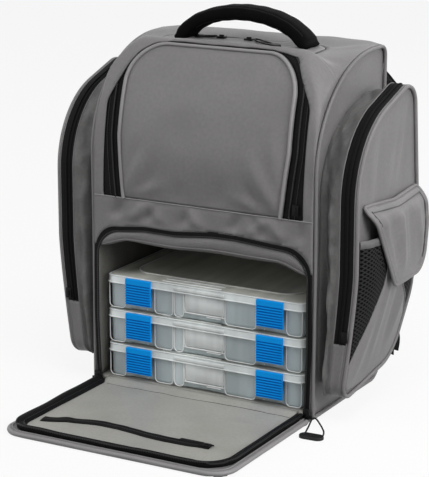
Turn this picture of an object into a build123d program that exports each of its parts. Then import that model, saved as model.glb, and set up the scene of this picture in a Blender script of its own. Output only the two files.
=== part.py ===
from build123d import *
from math import pi, radians, tan
import os

# Tackle backpack standing on its base, door folded down in front.  Millimetres.
# X is to the right, Y to the back, Z up; the origin is the centre of the base's underside.

# ---- driving dimensions -------------------------------------------------------------
CLOTH = 3.0              # padded cloth wall
SEAT = 0.3               # gap between pieces that only rest together
ARC_FOOT = 293.0         # height at which the front starts to lean back
ARC_RUN = 150.0          # how far the front leans back
ARC_RISE = 132.0         # how far it rises while doing so
REAR_CORNER = 12.0       # rounding of the top rear edge
PIPING = 5.5             # width of a bead of piping
BASE_THICK = 4.0
BOARD_THICK = 6.6        # stiffener under the boxes
BACK_TOP = 400.0         # seam between back panel and top panel

OPENING_TOP = 204.0      # door opening
OPENING_CORNER = 30.0
TAPE_WIDE = 9.5          # zip tape
TAPE_THICK = 2.0
STRIP_DROP = 15.0        # storm strip below the opening's top
SHELF_LEVEL = 206.0

DOOR_LENGTH = 203.0
DOOR_WIDER = 1.5         # the door stands out this far past a side panel
DOOR_CORNER = 28.0
DOOR_THICK = 5.0
DOOR_RIM = 7.0           # height and width of the bound rim
DOOR_INSET = 8.0         # door's edge to its zip tape
DOOR_TAPE_TOP = 9.5
LINING_THICK = 1.5
DOOR_FORWARD = 7.0       # front face to the door's fold
FOLD_GAP = 1.0           # fold line to the door's rear edge
LIP_GAP = 0.6            # base cloth to the door's rear edge

POCKET_FOOT = 242.0      # bottom seam of the front pocket
POCKET_RUN = 60.0        # the pocket leans back this far
POCKET_DEEP = 11.0       # depth of the pocket at its foot
PANEL_TAPER = 8.0        # its panel is this much narrower, each side, at the foot
PANEL_DOWN = 4.0         # its top edge below the pocket's
PANEL_CORNER = 48.0
PANEL_GAP = 0.8
POCKET_BAND = 19.0       # width of the zip band round the panel
SIDE_STRIP = 10.0        # width of the cloth between the zip band and a side panel
PIPE_RISE = 2.5          # height of a bead above the cloth

TOP_DROP = 1.0           # flat top below the side panels' top
RIDGE = 7.0              # the pocket's top edge stands this far above the flat top
LID_HALF = 107.0
LID_FRONT = 75.0         # from the front face
LID_REAR = 132.0
LID_CORNER = 26.0
TOP_SEAM = 134.0         # from the front face, where the top panel becomes full width

HANDLE_BACK = 112.0      # from the front face to the handle's middle
HANDLE_HALF = 97.0
HANDLE_FALL = 9.0        # centre of the arch below the top
HANDLE_RISE = 55.0
HANDLE_THICK = 19.0
HANDLE_WIDE = 30.0
FOOT_RADIUS = 7.0
FOOT_LONG = 20.0

SEAM_IN = 12.0           # a gusset is this much smaller where it meets the side panel
SIDE_POCKET = (          # its outline: back from the front face, height, rounding
    (3.0, 345.0, 108.0), (160.0, 396.0, 28.0), (176.0, 240.0, 140.0), (166.0, 138.0, 60.0),
    (128.0, 66.0, 60.0), (3.0, 36.0, 18.0))
SIDE_POCKET_WAIST = 200.0
GUSSET_WIDE = 32.0       # side panel to the seam between gusset and zip band
BAND_WIDE = 18.0
BAND_END = 100.0         # height where the band stops at the front
BAND_REAR = 147.0        # from the front face, where it stops at the top
POUCH_FOOT = 48.0
POUCH_TOP = 225.0
POUCH_SWELL = 13.0
POUCH_INSET = 7.0
MESH_THICK = 2.5
FLAP_TOP = 262.0
FLAP_STAND = 19.5        # how far the flap's shoulder stands off the panel
FLAP = (                 # its outline: back from the front face, below its top
    (20.0, 0.0), (165.0, 0.0), (167.0, 50.0), (162.0, 99.0), (72.0, 99.0), (20.0, 6.0))
SHOULDER_FALL = 22.0     # flap's top to its shoulder

BOX_WIDTH = 273.0
BOX_DEPTH = 174.0
BOX_TALL = 43.6
STACK_GAP = 0.4          # between stacked boxes
BOX_WALL = 1.8
BOX_CORNER = 6.0
RIM_TALL = 10.0          # skirt of the lid
RIM_STEP = 2.2           # lid's skirt stands this far outside the tray
RAISE = 1.0              # raised middle of the lid
BOX_FRONT = 5.0          # from the front face
BOX_BEHIND = 4.0         # boxes to the back panel
BOX_BESIDE = 9.5         # boxes to a side panel
BOX_COUNT = 3
DIVIDER = 1.5
DIVIDER_PITCH = 54.0
LATCH_WIDE = 35.5
LATCH_TALL = 33.0
LATCH_THICK = 3.0
LATCH_DROP = 1.1         # top of the lid to the top of a latch
LATCH_MIDDLES = (-89.5, 92.0)
RIB_COUNT = 7
RIB_RISE = 0.8

SLIDER_WIDE = 8.0
SLIDER_TALL = 13.0
SLIDER_THICK = 4.2
CORD = 2.0
GRIP_THICK = 3.5

PAD_THICK = 8.0
PADS = (                 # each pad's two sides, foot and top
    (22.0, 118.0, 120.0, 372.0), (-118.0, -22.0, 120.0, 372.0), (-118.0, 118.0, 40.0, 110.0))
PAD_CORNER = 18.0
PAD_EDGE = 3.0
STRAP_THICK = 12.0
STRAP_OUT = 222.0        # from the front face, the strap's furthest point
STRAP_CREST = 290.0      # and its height there
STRAP_FOOT = 140.0
STRAP_LIFT = 14.0        # strap's lower end to the pads' plane
STRAP_OUTSIDE = (        # outer edge of a strap: across, height, rounding
    (44.0, 398.0, 0.0), (86.0, 398.0, 30.0), (140.0, 392.0, 22.0), (160.0, 366.0, 40.0),
    (166.0, 300.0, 60.0), (158.0, 220.0, 60.0), (146.0, 140.0, 0.0))
STRAP_INSIDE = (
    (100.0, 140.0), (104.0, 220.0), (106.0, 290.0), (96.0, 336.0), (66.0, 352.0), (36.0, 356.0))
STRAP_BEND = 40.0
LOCK = (108.0, 138.0)    # ladder lock, side to side
LOCK_TALL = 28.0
LOCK_BAR = 3.0
LOCK_SLOT = 4.0
WEBBING_THICK = 2.5
WEBBING_KNEE = (172.0, 66.0, 44.0)      # outermost edge, its top and its foot
WEBBING_FOOT = (34.0, 62.0)

DEPTH = BOX_FRONT + BOX_DEPTH + BOX_BEHIND + CLOTH
FRONT = -DEPTH / 2
BACK = DEPTH / 2
INNER = BOX_WIDTH / 2 + BOX_BESIDE
HALF_WIDTH = INNER + CLOTH
BAND_HALF = INNER - SIDE_STRIP
PANEL_HALF = BAND_HALF - POCKET_BAND
PANEL_FOOT_HALF = PANEL_HALF - PANEL_TAPER
DOOR_HALF = HALF_WIDTH + DOOR_WIDER
GUSSET_OUT = HALF_WIDTH + GUSSET_WIDE
BAND_OUT = GUSSET_OUT + BAND_WIDE
BOX_PITCH = BOX_TALL + STACK_GAP
TOP_LEVEL = ARC_FOOT + ARC_RISE - TOP_DROP
POCKET_RISE = TOP_LEVEL + RIDGE + 1 - POCKET_FOOT
PANEL_TOP = POCKET_FOOT + POCKET_RISE - PANEL_DOWN
FLAP_FOOT = FLAP_TOP - max(fall for back, fall in FLAP)
BOARD_TOP = BASE_THICK + BOARD_THICK
DOOR_AXIS_Y = FRONT - DOOR_FORWARD
DOOR_REAR = DOOR_AXIS_Y - FOLD_GAP
SIDE_PANEL_IN = BAND_OUT + SEAT
SIDE_PANEL_OUT = SIDE_PANEL_IN + CLOTH
FAR = 600.0              # longer than anything that it cuts

os.makedirs("parts", exist_ok=True)


def save(piece, name):
    """Label a finished piece and write it."""
    piece.label = name
    export_step(piece, f"parts/{name}.step")


def save_pair(piece, name):
    """Write a right-hand piece and its mirror image."""
    save(piece, f"right_{name}")
    save(mirror(piece, about=Plane.YZ), f"left_{name}")


def block(x, y, z, mode=Mode.ADD, corner=0.0):
    """A box from three stretches, its upright edges rounded."""
    with BuildSketch(Plane.XY.offset(z[0])) as foot:
        with Locations(((x[0] + x[1]) / 2, (y[0] + y[1]) / 2)):
            Rectangle(x[1] - x[0], y[1] - y[0])
        if corner:
            fillet(foot.vertices(), corner)
    extrude(foot.sketch, amount=z[1] - z[0], mode=mode)


def side_shape(points, at=0.0):
    """A face in the side view from its corners, each given from the front face and the floor."""
    with BuildSketch(Plane.YZ.offset(at)) as shape:
        with BuildLine():
            Polyline(*[(FRONT + back, height) for back, height in points], close=True)
        make_face()
    return shape.sketch


def front_shape(points):
    """A face in the front view, placed behind everything so that it can be run through."""
    with BuildSketch(Plane.XZ.offset(-FAR)) as shape:
        with BuildLine():
            Polyline(*points, close=True)
        make_face()
    return shape.sketch


def through(sketch, mode=Mode.ADD):
    """Run a front view shape through the whole depth."""
    extrude(sketch, amount=2 * FAR, mode=mode)


def side_outline(inset=0.0, at=0.0):
    """Side outline of the bag, pulled in by inset."""
    run = DEPTH - 2 * inset
    with BuildSketch(Plane.YZ.offset(at)) as outline:
        with Locations((FRONT + ARC_RUN, ARC_FOOT)):
            Ellipse(ARC_RUN - inset, ARC_RISE - inset)
        with Locations((0, ARC_FOOT + ARC_RISE / 2)):
            Rectangle(run, ARC_RISE, mode=Mode.INTERSECT)
        rear = outline.vertices().group_by(Axis.X)[-1].sort_by(Axis.Y)[-1]
        fillet(rear, REAR_CORNER - inset)
        with Locations((0, (ARC_FOOT + inset) / 2)):
            Rectangle(run, ARC_FOOT - inset)
    return outline.sketch


def pocket_outline(inset=0.0, at=0.0):
    """Side outline of the front pocket, a quarter ellipse that leans back as it rises."""
    with BuildSketch(Plane.YZ.offset(at)) as outline:
        with Locations((FRONT + POCKET_RUN, POCKET_FOOT)):
            Ellipse(POCKET_RUN - inset, POCKET_RISE - inset)
        with Locations((FRONT, POCKET_FOOT + POCKET_RISE)):
            Rectangle(2 * POCKET_RUN, 2 * POCKET_RISE, mode=Mode.INTERSECT)
    return outline.sketch


def arch(inset=0.0):
    """Front outline of the pocket's panel: widest at its middle, with large top corners."""
    foot, half, top = PANEL_FOOT_HALF - inset, PANEL_HALF - inset, PANEL_TOP - inset
    corner = PANEL_CORNER - inset
    waist = POCKET_FOOT + POCKET_RISE * 0.4
    with BuildSketch(Plane.XZ.offset(-FAR)) as outline:
        with BuildLine():
            FilletPolyline(
                (-foot, POCKET_FOOT + SEAT), (-half, waist), (-half + 1, top), (half - 1, top),
                (half, waist), (foot, POCKET_FOOT + SEAT), radius=corner)
            Line((foot, POCKET_FOOT + SEAT), (-foot, POCKET_FOOT + SEAT))
        make_face()
    return outline.sketch


def opening_outline(half, top, corner, foot=0.0):
    """Front outline of the door opening: straight sides and two round top corners."""
    with BuildSketch(Plane.XZ.offset(-FAR)) as outline:
        with Locations((0, (foot + top) / 2)):
            Rectangle(2 * half, top - foot)
        fillet(outline.vertices().group_by(Axis.Y)[-1], corner)
    return outline.sketch


def door_outline(inset=0.0, at=0.0):
    """Plan of the door's three free sides, pulled in by inset; its rear edge is straight."""
    low = DOOR_REAR - DOOR_LENGTH + inset
    with BuildSketch(Plane.XY.offset(at)) as outline:
        with Locations((0, (low + DOOR_REAR) / 2)):
            Rectangle(2 * (DOOR_HALF - inset), DOOR_REAR - low)
        fillet(outline.vertices().group_by(Axis.Y)[0], DOOR_CORNER - inset)
    return outline.sketch


def side_pocket_outline(inset=0.0, at=0.0):
    """Side outline of a side pocket, pulled in by inset."""
    corners = [(FRONT + back, height) for back, height, _ in SIDE_POCKET]
    seam_top, seam_foot = (corners[0][0], SIDE_POCKET_WAIST), (corners[0][0], SIDE_POCKET_WAIST / 2)
    with BuildSketch(Plane.YZ.offset(at)) as outline:
        with BuildLine():
            FilletPolyline(seam_top, *corners, seam_foot, radius=[corner[2] for corner in SIDE_POCKET])
            Line(seam_foot, seam_top)
        make_face()
        if inset:
            offset(amount=-inset)
    return outline.sketch


def lid_outline(gap=0.0):
    """Plan of the top lid, widened by gap; only its rear corners are round."""
    with BuildSketch(Plane.XY.offset(TOP_LEVEL - CLOTH)) as outline:
        with Locations((0, FRONT + (LID_FRONT + LID_REAR) / 2)):
            Rectangle(2 * (LID_HALF + gap), LID_REAR - LID_FRONT + 2 * gap)
        fillet(outline.vertices().group_by(Axis.Y)[-1], LID_CORNER + gap)
    return outline.sketch


def cord_tube(points, name):
    """A round cord: straight runs, each corner an arc as large as its two runs allow."""
    places = [Vector(*point) for point in points]
    radii = []
    for before, here, after in zip(places, places[1:], places[2:]):
        half_turn = radians((here - before).get_angle(after - here)) / 2
        radii.append(0.45 * min((here - before).length, (after - here).length) / tan(half_turn))
    with BuildPart() as tube:
        with BuildLine() as route:
            FilletPolyline(*points, radius=radii)
        with BuildSketch(Plane(origin=places[0], z_dir=places[1] - places[0])):
            Circle(CORD / 2)
        sweep()
    length = route.wires()[0].length
    ratio = tube.part.volume / (length * pi * CORD ** 2 / 4)
    print(name, "length", round(length, 1), "volume ratio", round(ratio, 4),
          "radii", [round(radius, 1) for radius in radii])
    return tube.part


def grip(middle, long, wide, turn):
    """A flat moulded pull with round ends, lying on the level of middle."""
    plane = Plane(origin=middle, x_dir=(1, 0, 0), z_dir=(0, 0, 1)).rotated((0, 0, turn))
    with BuildPart() as pull:
        with BuildSketch(plane):
            SlotOverall(long, wide)
        extrude(amount=GRIP_THICK)
        fillet(pull.edges().group_by(Axis.Z)[-1], 1.2)
    return pull.part


# ---- bag body -----------------------------------------------------------------------
with BuildPart() as base_panel:
    block((-INNER, INNER), (DOOR_REAR + LIP_GAP, BACK), (0, BASE_THICK))
save(base_panel.part, "base_panel")

with BuildPart() as base_board:
    block((-INNER + SEAT, INNER - SEAT), (FRONT + 1, BACK - CLOTH - SEAT), (BASE_THICK, BOARD_TOP),
          corner=BOX_CORNER)
save(base_board.part, "base_board")

with BuildPart() as back_panel:
    block((-INNER, INNER), (BACK - CLOTH, BACK), (BASE_THICK, BACK_TOP))
save(back_panel.part, "back_panel")

with BuildPart() as side_panel:
    extrude(side_outline(at=INNER), amount=CLOTH)
save_pair(side_panel.part, "side_panel")

with BuildPart() as side_piping:
    extrude(side_outline(at=HALF_WIDTH + SEAT), amount=PIPING)
    extrude(side_outline(PIPING, at=HALF_WIDTH + SEAT), amount=PIPING, mode=Mode.SUBTRACT)
    mirror(about=Plane.YZ)
save(side_piping.part, "side_piping")

with BuildPart() as front_panel:
    extrude(side_outline(), amount=INNER, both=True)
    for low in (-BAND_HALF - CLOTH, BAND_HALF):
        extrude(pocket_outline(at=low), amount=CLOTH)
        block((low, low + CLOTH), (FRONT + POCKET_RUN, FRONT + TOP_SEAM), (POCKET_FOOT, TOP_LEVEL))
    extrude(side_outline(CLOTH), amount=FAR, both=True, mode=Mode.SUBTRACT)
    block((-FAR, FAR), (-FAR, FRONT + TOP_SEAM), (OPENING_TOP - OPENING_CORNER, FAR), Mode.INTERSECT)
    through(opening_outline(INNER, OPENING_TOP, OPENING_CORNER), Mode.SUBTRACT)
    block((-BAND_HALF, BAND_HALF), (-FAR, FAR), (POCKET_FOOT, FAR), Mode.SUBTRACT)
save(front_panel.part, "front_panel")

with BuildPart() as top_panel:
    extrude(side_outline(), amount=INNER, both=True)
    extrude(side_outline(CLOTH), amount=INNER, both=True, mode=Mode.SUBTRACT)
    block((-FAR, FAR), (FRONT + TOP_SEAM, FAR), (BACK_TOP, FAR), Mode.INTERSECT)
    block((-BAND_HALF, BAND_HALF), (FRONT + POCKET_RUN, FRONT + TOP_SEAM), (TOP_LEVEL - CLOTH, TOP_LEVEL))
    block((-BAND_HALF, BAND_HALF), (FRONT + POCKET_RUN, FRONT + POCKET_RUN + CLOTH),
          (TOP_LEVEL, TOP_LEVEL + RIDGE))
    extrude(lid_outline(PANEL_GAP), amount=CLOTH, mode=Mode.SUBTRACT)
save(top_panel.part, "top_panel")

with BuildPart() as shelf:
    block((-INNER, INNER), (FRONT + CLOTH, BACK - CLOTH), (SHELF_LEVEL, SHELF_LEVEL + CLOTH))
save(shelf.part, "compartment_shelf")

with BuildPart() as opening_tape:
    through(opening_outline(HALF_WIDTH, OPENING_TOP + TAPE_WIDE - 1, OPENING_CORNER + TAPE_WIDE,
                            BASE_THICK + SEAT))
    through(opening_outline(HALF_WIDTH - TAPE_WIDE, OPENING_TOP - 1, OPENING_CORNER), Mode.SUBTRACT)
    block((-FAR, FAR), (FRONT - TAPE_THICK, FRONT), (0, FAR), Mode.INTERSECT)
save(opening_tape.part, "opening_zip_tape")

with BuildPart() as storm_strip:
    block((-INNER + OPENING_CORNER / 2, INNER - OPENING_CORNER / 2),
          (FRONT + CLOTH + SEAT, FRONT + 2 * CLOTH), (OPENING_TOP - STRIP_DROP, SHELF_LEVEL))
save(storm_strip.part, "storm_strip")

# ---- front pocket -------------------------------------------------------------------
WALL_FACE = CLOTH + POCKET_DEEP
WALL_THICK = 2.0
WALL_LEAN = 300.0        # height at which the pocket's inner wall starts to lean back
WALL_TOP = LID_FRONT - CLOTH - WALL_THICK
UNDER_TOP = TOP_LEVEL - CLOTH
with BuildPart() as pocket_wall:
    extrude(side_shape([
        (CLOTH, POCKET_FOOT - WALL_THICK), (WALL_FACE + WALL_THICK, POCKET_FOOT - WALL_THICK),
        (WALL_FACE + WALL_THICK, WALL_LEAN), (WALL_TOP + WALL_THICK, UNDER_TOP), (WALL_TOP, UNDER_TOP),
        (WALL_FACE, WALL_LEAN), (WALL_FACE, POCKET_FOOT), (CLOTH, POCKET_FOOT)]),
        amount=BAND_HALF, both=True)
    for low in (-BAND_HALF, BAND_HALF - CLOTH):
        with BuildPart(mode=Mode.PRIVATE) as cheek:
            extrude(pocket_outline(CLOTH, at=low), amount=CLOTH)
            block((low, low + CLOTH), (FRONT + POCKET_RUN, FRONT + WALL_TOP), (POCKET_FOOT, UNDER_TOP))
            extrude(side_shape([
                (0, POCKET_FOOT), (WALL_FACE, POCKET_FOOT), (WALL_FACE, WALL_LEAN),
                (WALL_TOP, UNDER_TOP), (0, TOP_LEVEL + POCKET_RUN)], at=low),
                amount=CLOTH, mode=Mode.INTERSECT)
        add(cheek.part)
save(pocket_wall.part, "front_pocket_wall")

with BuildPart() as pocket_band:
    extrude(pocket_outline(), amount=BAND_HALF, both=True)
    extrude(pocket_outline(CLOTH), amount=BAND_HALF, both=True, mode=Mode.SUBTRACT)
    through(arch(-PANEL_GAP), Mode.SUBTRACT)
    block((-PANEL_FOOT_HALF, PANEL_FOOT_HALF), (-FAR, FAR), (0, POCKET_FOOT + CLOTH), Mode.SUBTRACT)
    block((-FAR, FAR), (-FAR, FRONT + POCKET_RUN), (0, FAR), Mode.INTERSECT)
save(pocket_band.part, "front_pocket_band")

with BuildPart() as pocket_panel:
    extrude(pocket_outline(), amount=BAND_HALF, both=True)
    extrude(pocket_outline(CLOTH), amount=BAND_HALF, both=True, mode=Mode.SUBTRACT)
    through(arch(), Mode.INTERSECT)
save(pocket_panel.part, "front_pocket_panel")

with BuildPart() as pocket_piping:
    extrude(pocket_outline(-PIPE_RISE), amount=BAND_HALF, both=True)
    extrude(pocket_outline(), amount=BAND_HALF, both=True, mode=Mode.SUBTRACT)
    through(arch(), Mode.INTERSECT)
    through(arch(PIPING), Mode.SUBTRACT)
    block((-PANEL_FOOT_HALF + PIPING, PANEL_FOOT_HALF - PIPING), (-FAR, FAR), (0, POCKET_FOOT + PIPING),
          Mode.SUBTRACT)
save(pocket_piping.part, "front_pocket_piping")

POCKET_SLIDER_FOOT = POCKET_FOOT + 6
with BuildPart() as pocket_slider:
    middle = (PANEL_HALF + BAND_HALF) / 2
    block((middle - SLIDER_WIDE / 2, middle + SLIDER_WIDE / 2), (FRONT - SEAT - SLIDER_THICK, FRONT - SEAT),
          (POCKET_SLIDER_FOOT, POCKET_SLIDER_FOOT + SLIDER_TALL))
    fillet(pocket_slider.edges().group_by(Axis.Y)[0], 1.2)
save(pocket_slider.part, "front_pocket_slider")

# ---- top lid and handle -------------------------------------------------------------
with BuildPart() as top_lid:
    extrude(lid_outline(), amount=CLOTH)
save(top_lid.part, "top_lid")

HANDLE_Y = FRONT + HANDLE_BACK
PIVOT_Z = TOP_LEVEL + SEAT + FOOT_RADIUS
ARCH_FOOT = PIVOT_Z + FOOT_RADIUS + 1.5
NECK = HANDLE_HALF - HANDLE_THICK / 2 - 2
with BuildPart() as handle:
    with BuildSketch(Plane.XZ.offset(-HANDLE_Y)):
        with Locations((0, TOP_LEVEL - HANDLE_FALL)):
            Ellipse(HANDLE_HALF, HANDLE_RISE)
            Ellipse(HANDLE_HALF - HANDLE_THICK, HANDLE_RISE - HANDLE_THICK, mode=Mode.SUBTRACT)
        with Locations((0, ARCH_FOOT + HANDLE_RISE / 2)):
            Rectangle(2 * HANDLE_HALF, HANDLE_RISE, mode=Mode.INTERSECT)
    extrude(amount=HANDLE_WIDE / 2, both=True)
    fillet(handle.edges().filter_by(GeomType.ELLIPSE), 5)
    for side in (-1, 1):
        with BuildSketch(Plane.YZ.offset(side * NECK)):
            with Locations((HANDLE_Y, PIVOT_Z)):
                Circle(FOOT_RADIUS)
            with Locations((HANDLE_Y, (PIVOT_Z + ARCH_FOOT + 4) / 2)):
                Rectangle(2 * FOOT_RADIUS, ARCH_FOOT + 4 - PIVOT_Z)
        extrude(amount=FOOT_LONG / 2 - 2, both=True)
save(handle.part, "carry_handle")

ZIP_Y = FRONT + LID_REAR
TOP_SLIDERS = {"left": -42.0, "right": -4.0}
TOP_LIFT = TOP_LEVEL + SEAT
for name, x in TOP_SLIDERS.items():
    with BuildPart() as top_slider:
        block((x - SLIDER_TALL / 2 + 1, x + SLIDER_TALL / 2 - 1),
              (ZIP_Y - SLIDER_WIDE - 1, ZIP_Y - 1), (TOP_LIFT, TOP_LIFT + SLIDER_THICK))
        fillet(top_slider.edges().group_by(Axis.Z)[-1], 1.2)
    save(top_slider.part, f"top_slider_{name}")

TOP_CORD_LEFT = [
    (-62.0, 27.0, 425.9), (-56.0, 28.2, 425.6), (-51.2, 30.6, 425.9), (-49.0, 33.8, 426.5),
    (-50.2, 36.0, 426.5), (-54.0, 36.8, 425.9), (-59.6, 35.4, 425.6), (-66.0, 32.9, 425.9)]
TOP_CORD_RIGHT = [
    (38.6, 6.4, 426.0), (27.0, 13.4, 425.6), (15.0, 21.8, 425.6), (7.0, 28.6, 426.0),
    (4.2, 32.4, 426.6), (4.9, 35.2, 426.6), (9.6, 35.6, 426.0), (19.0, 29.6, 425.6),
    (31.0, 21.6, 425.6), (42.6, 13.2, 426.0)]
save(cord_tube(TOP_CORD_LEFT, "top pull left"), "top_pull_cord_left")
save(cord_tube(TOP_CORD_RIGHT, "top pull right"), "top_pull_cord_right")
save(grip((-68.6, 26.8, TOP_LIFT), 12.0, 10.5, 34.0), "top_pull_grip_left")
save(grip((47.2, 5.2, TOP_LIFT), 17.0, 10.5, -34.0), "top_pull_grip_right")

# ---- door ---------------------------------------------------------------------------
with BuildPart() as door_panel:
    extrude(door_outline(), amount=DOOR_RIM)
    extrude(door_outline(DOOR_RIM, at=DOOR_THICK), amount=DOOR_RIM, mode=Mode.SUBTRACT)
save(door_panel.part, "door_panel")

with BuildPart() as door_tape:
    extrude(door_outline(DOOR_INSET, at=DOOR_THICK), amount=DOOR_TAPE_TOP - DOOR_THICK)
    extrude(door_outline(DOOR_INSET + TAPE_WIDE, at=DOOR_THICK), amount=FAR, mode=Mode.SUBTRACT)
save(door_tape.part, "door_zip_tape")

LINING_TOP = DOOR_THICK + LINING_THICK
with BuildPart() as door_lining:
    extrude(door_outline(DOOR_INSET + TAPE_WIDE + SEAT, at=DOOR_THICK), amount=LINING_THICK)
save(door_lining.part, "door_lining")

INNER_ZIP = (-122.0, 97.0)
INNER_ZIP_FORWARD = 145.0
INNER_BODY = (INNER_ZIP[1] - 13, INNER_ZIP[1] - 2)      # its slider's body, then the pull
INNER_PULL = (INNER_ZIP[1] - 42, INNER_ZIP[1] - 11)
INNER_ZIP_Y = FRONT - INNER_ZIP_FORWARD
INNER_ZIP_TOP = LINING_TOP + 1.2
with BuildPart() as inner_zip:
    block(INNER_ZIP, (INNER_ZIP_Y - TAPE_WIDE / 2, INNER_ZIP_Y + TAPE_WIDE / 2),
          (LINING_TOP, INNER_ZIP_TOP), corner=2)
save(inner_zip.part, "door_pocket_zip")

INNER_SLIDER_TOP = BOARD_TOP - SEAT
with BuildPart() as inner_slider:
    block(INNER_BODY, (INNER_ZIP_Y - 4.5, INNER_ZIP_Y + 4.5),
          (INNER_ZIP_TOP + SEAT, INNER_SLIDER_TOP), corner=2)
    block(INNER_PULL, (INNER_ZIP_Y - 2.5, INNER_ZIP_Y + 4.5),
          (INNER_ZIP_TOP + SEAT, INNER_SLIDER_TOP), corner=3)
save(inner_slider.part, "door_pocket_slider")

DOOR_SLIDER_X = HALF_WIDTH - TAPE_WIDE / 2 + 1
DOOR_SLIDER_FOOT = BASE_THICK + 1
SLIDER_FACE = FRONT - TAPE_THICK - SEAT
BAIL = 3.6               # ear that the pull hangs from
for name, side in (("left", -1), ("right", 1)):
    with BuildPart() as door_slider:
        block((side * DOOR_SLIDER_X - SLIDER_WIDE / 2, side * DOOR_SLIDER_X + SLIDER_WIDE / 2),
              (SLIDER_FACE - SLIDER_THICK, SLIDER_FACE), (DOOR_SLIDER_FOOT, DOOR_SLIDER_FOOT + SLIDER_TALL))
        outer = side * (DOOR_SLIDER_X + SLIDER_WIDE / 2)
        ear = sorted((outer - side, outer + side * BAIL))
        block(ear, (SLIDER_FACE - SLIDER_THICK + 1, SLIDER_FACE - 1),
              (DOOR_SLIDER_FOOT + 1, DOOR_SLIDER_FOOT + 5))
    save(door_slider.part, f"door_slider_{name}")

DOOR_CORD = [            # the first figure is past the door's edge
    (11.0, -131.0, 2.3), (7.7, -121.5, 1.4), (4.9, -111.0, 1.8), (3.4, -103.0, 4.6),
    (3.3, -97.8, 7.8), (6.9, -96.0, 8.2), (14.1, -101.0, 4.6), (23.1, -109.8, 1.6),
    (29.9, -120.4, 1.4), (33.3, -130.4, 2.3)]
DOOR_CORD = [(DOOR_HALF + past, y, z) for past, y, z in DOOR_CORD]
save(cord_tube(DOOR_CORD, "door pull"), "door_pull_cord")
save(grip((DOOR_HALF + 22.2, -138.2, 0), 30.0, 15.0, 3.0), "door_pull_grip")

# ---- side pockets, right side then mirrored -----------------------------------------
with BuildPart() as gusset:
    loft([side_pocket_outline(SEAM_IN, at=HALF_WIDTH + SEAT), side_pocket_outline(at=GUSSET_OUT)])
    loft([side_pocket_outline(SEAM_IN + CLOTH, at=HALF_WIDTH + SEAT),
          side_pocket_outline(CLOTH, at=GUSSET_OUT)], mode=Mode.SUBTRACT)
    with BuildPart(mode=Mode.PRIVATE) as rear_ring:
        extrude(side_pocket_outline(at=GUSSET_OUT), amount=BAND_OUT - GUSSET_OUT)
        extrude(side_pocket_outline(CLOTH, at=GUSSET_OUT), amount=FAR, mode=Mode.SUBTRACT)
        block((0, FAR), (-FAR, 0), (BAND_END, FAR), Mode.SUBTRACT)
        block((0, FAR), (-FAR, FRONT + BAND_REAR), (ARC_FOOT, FAR), Mode.SUBTRACT)
    add(rear_ring.part)
save_pair(gusset.part, "side_gusset")

with BuildPart() as side_band:
    extrude(side_pocket_outline(at=GUSSET_OUT), amount=BAND_OUT - GUSSET_OUT)
    extrude(side_pocket_outline(CLOTH, at=GUSSET_OUT), amount=FAR, mode=Mode.SUBTRACT)
    with BuildPart(mode=Mode.PRIVATE) as zip_side:
        block((0, FAR), (-FAR, 0), (BAND_END, FAR))
        block((0, FAR), (-FAR, FRONT + BAND_REAR), (ARC_FOOT, FAR))
    add(zip_side.part, mode=Mode.INTERSECT)
    mirror(about=Plane.YZ)
save(side_band.part, "side_zip_bands")

with BuildPart() as side_slider:
    middle = (GUSSET_OUT + BAND_OUT) / 2
    face = FRONT + SIDE_POCKET[0][0] - SEAT
    block((middle - SLIDER_WIDE / 2, middle + SLIDER_WIDE / 2), (face - SLIDER_THICK, face),
          (BAND_END + 4, BAND_END + 4 + SLIDER_TALL))
    fillet(side_slider.edges().group_by(Axis.Y)[0], 1.2)
save_pair(side_slider.part, "side_slider")

with BuildPart() as side_pocket_panel:
    extrude(side_pocket_outline(at=SIDE_PANEL_IN), amount=CLOTH + PIPE_RISE + 1)
    extrude(side_pocket_outline(PIPING, at=SIDE_PANEL_OUT), amount=FAR, mode=Mode.SUBTRACT)
save_pair(side_pocket_panel.part, "side_pocket_panel")

POUCH_IN = SIDE_PANEL_OUT + SEAT
with BuildPart() as pouch:
    for thick, mode in ((0.0, Mode.ADD), (MESH_THICK, Mode.SUBTRACT)):
        with BuildPart(mode=Mode.PRIVATE) as wedge:
            through(front_shape([
                (POUCH_IN - thick, POUCH_FOOT), (POUCH_IN + MESH_THICK - thick, POUCH_FOOT),
                (POUCH_IN + MESH_THICK + POUCH_SWELL - thick, POUCH_TOP), (POUCH_IN - thick, POUCH_TOP)]))
            extrude(side_pocket_outline(POUCH_INSET + thick), amount=FAR, mode=Mode.INTERSECT)
        add(wedge.part, mode=mode)
save_pair(pouch.part, "bottle_pocket")

with BuildPart() as flap:
    through(front_shape([
        (POUCH_IN, FLAP_TOP - CLOTH), (POUCH_IN, FLAP_TOP), (POUCH_IN + CLOTH, FLAP_TOP),
        (POUCH_IN + FLAP_STAND, FLAP_TOP - SHOULDER_FALL), (POUCH_IN + FLAP_STAND + 2, FLAP_FOOT),
        (POUCH_IN + FLAP_STAND - 1, FLAP_FOOT),
        (POUCH_IN + FLAP_STAND - CLOTH, FLAP_TOP - SHOULDER_FALL - CLOTH / 2)]))
    extrude(side_shape([(back, FLAP_TOP - fall) for back, fall in FLAP]), amount=FAR,
            mode=Mode.INTERSECT)
save_pair(flap.part, "bottle_flap")

# ---- back: pads, straps, webbing -----------------------------------------------------
PAD_FACE = BACK + SEAT
with BuildPart() as back_pads:
    for low, high, foot, top in PADS:
        block((low, high), (PAD_FACE, PAD_FACE + PAD_THICK), (foot, top))
    fillet(back_pads.edges().filter_by(Axis.Y), PAD_CORNER)
    fillet(back_pads.edges().group_by(Axis.Y)[-1], PAD_EDGE)
save(back_pads.part, "back_pads")

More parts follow.
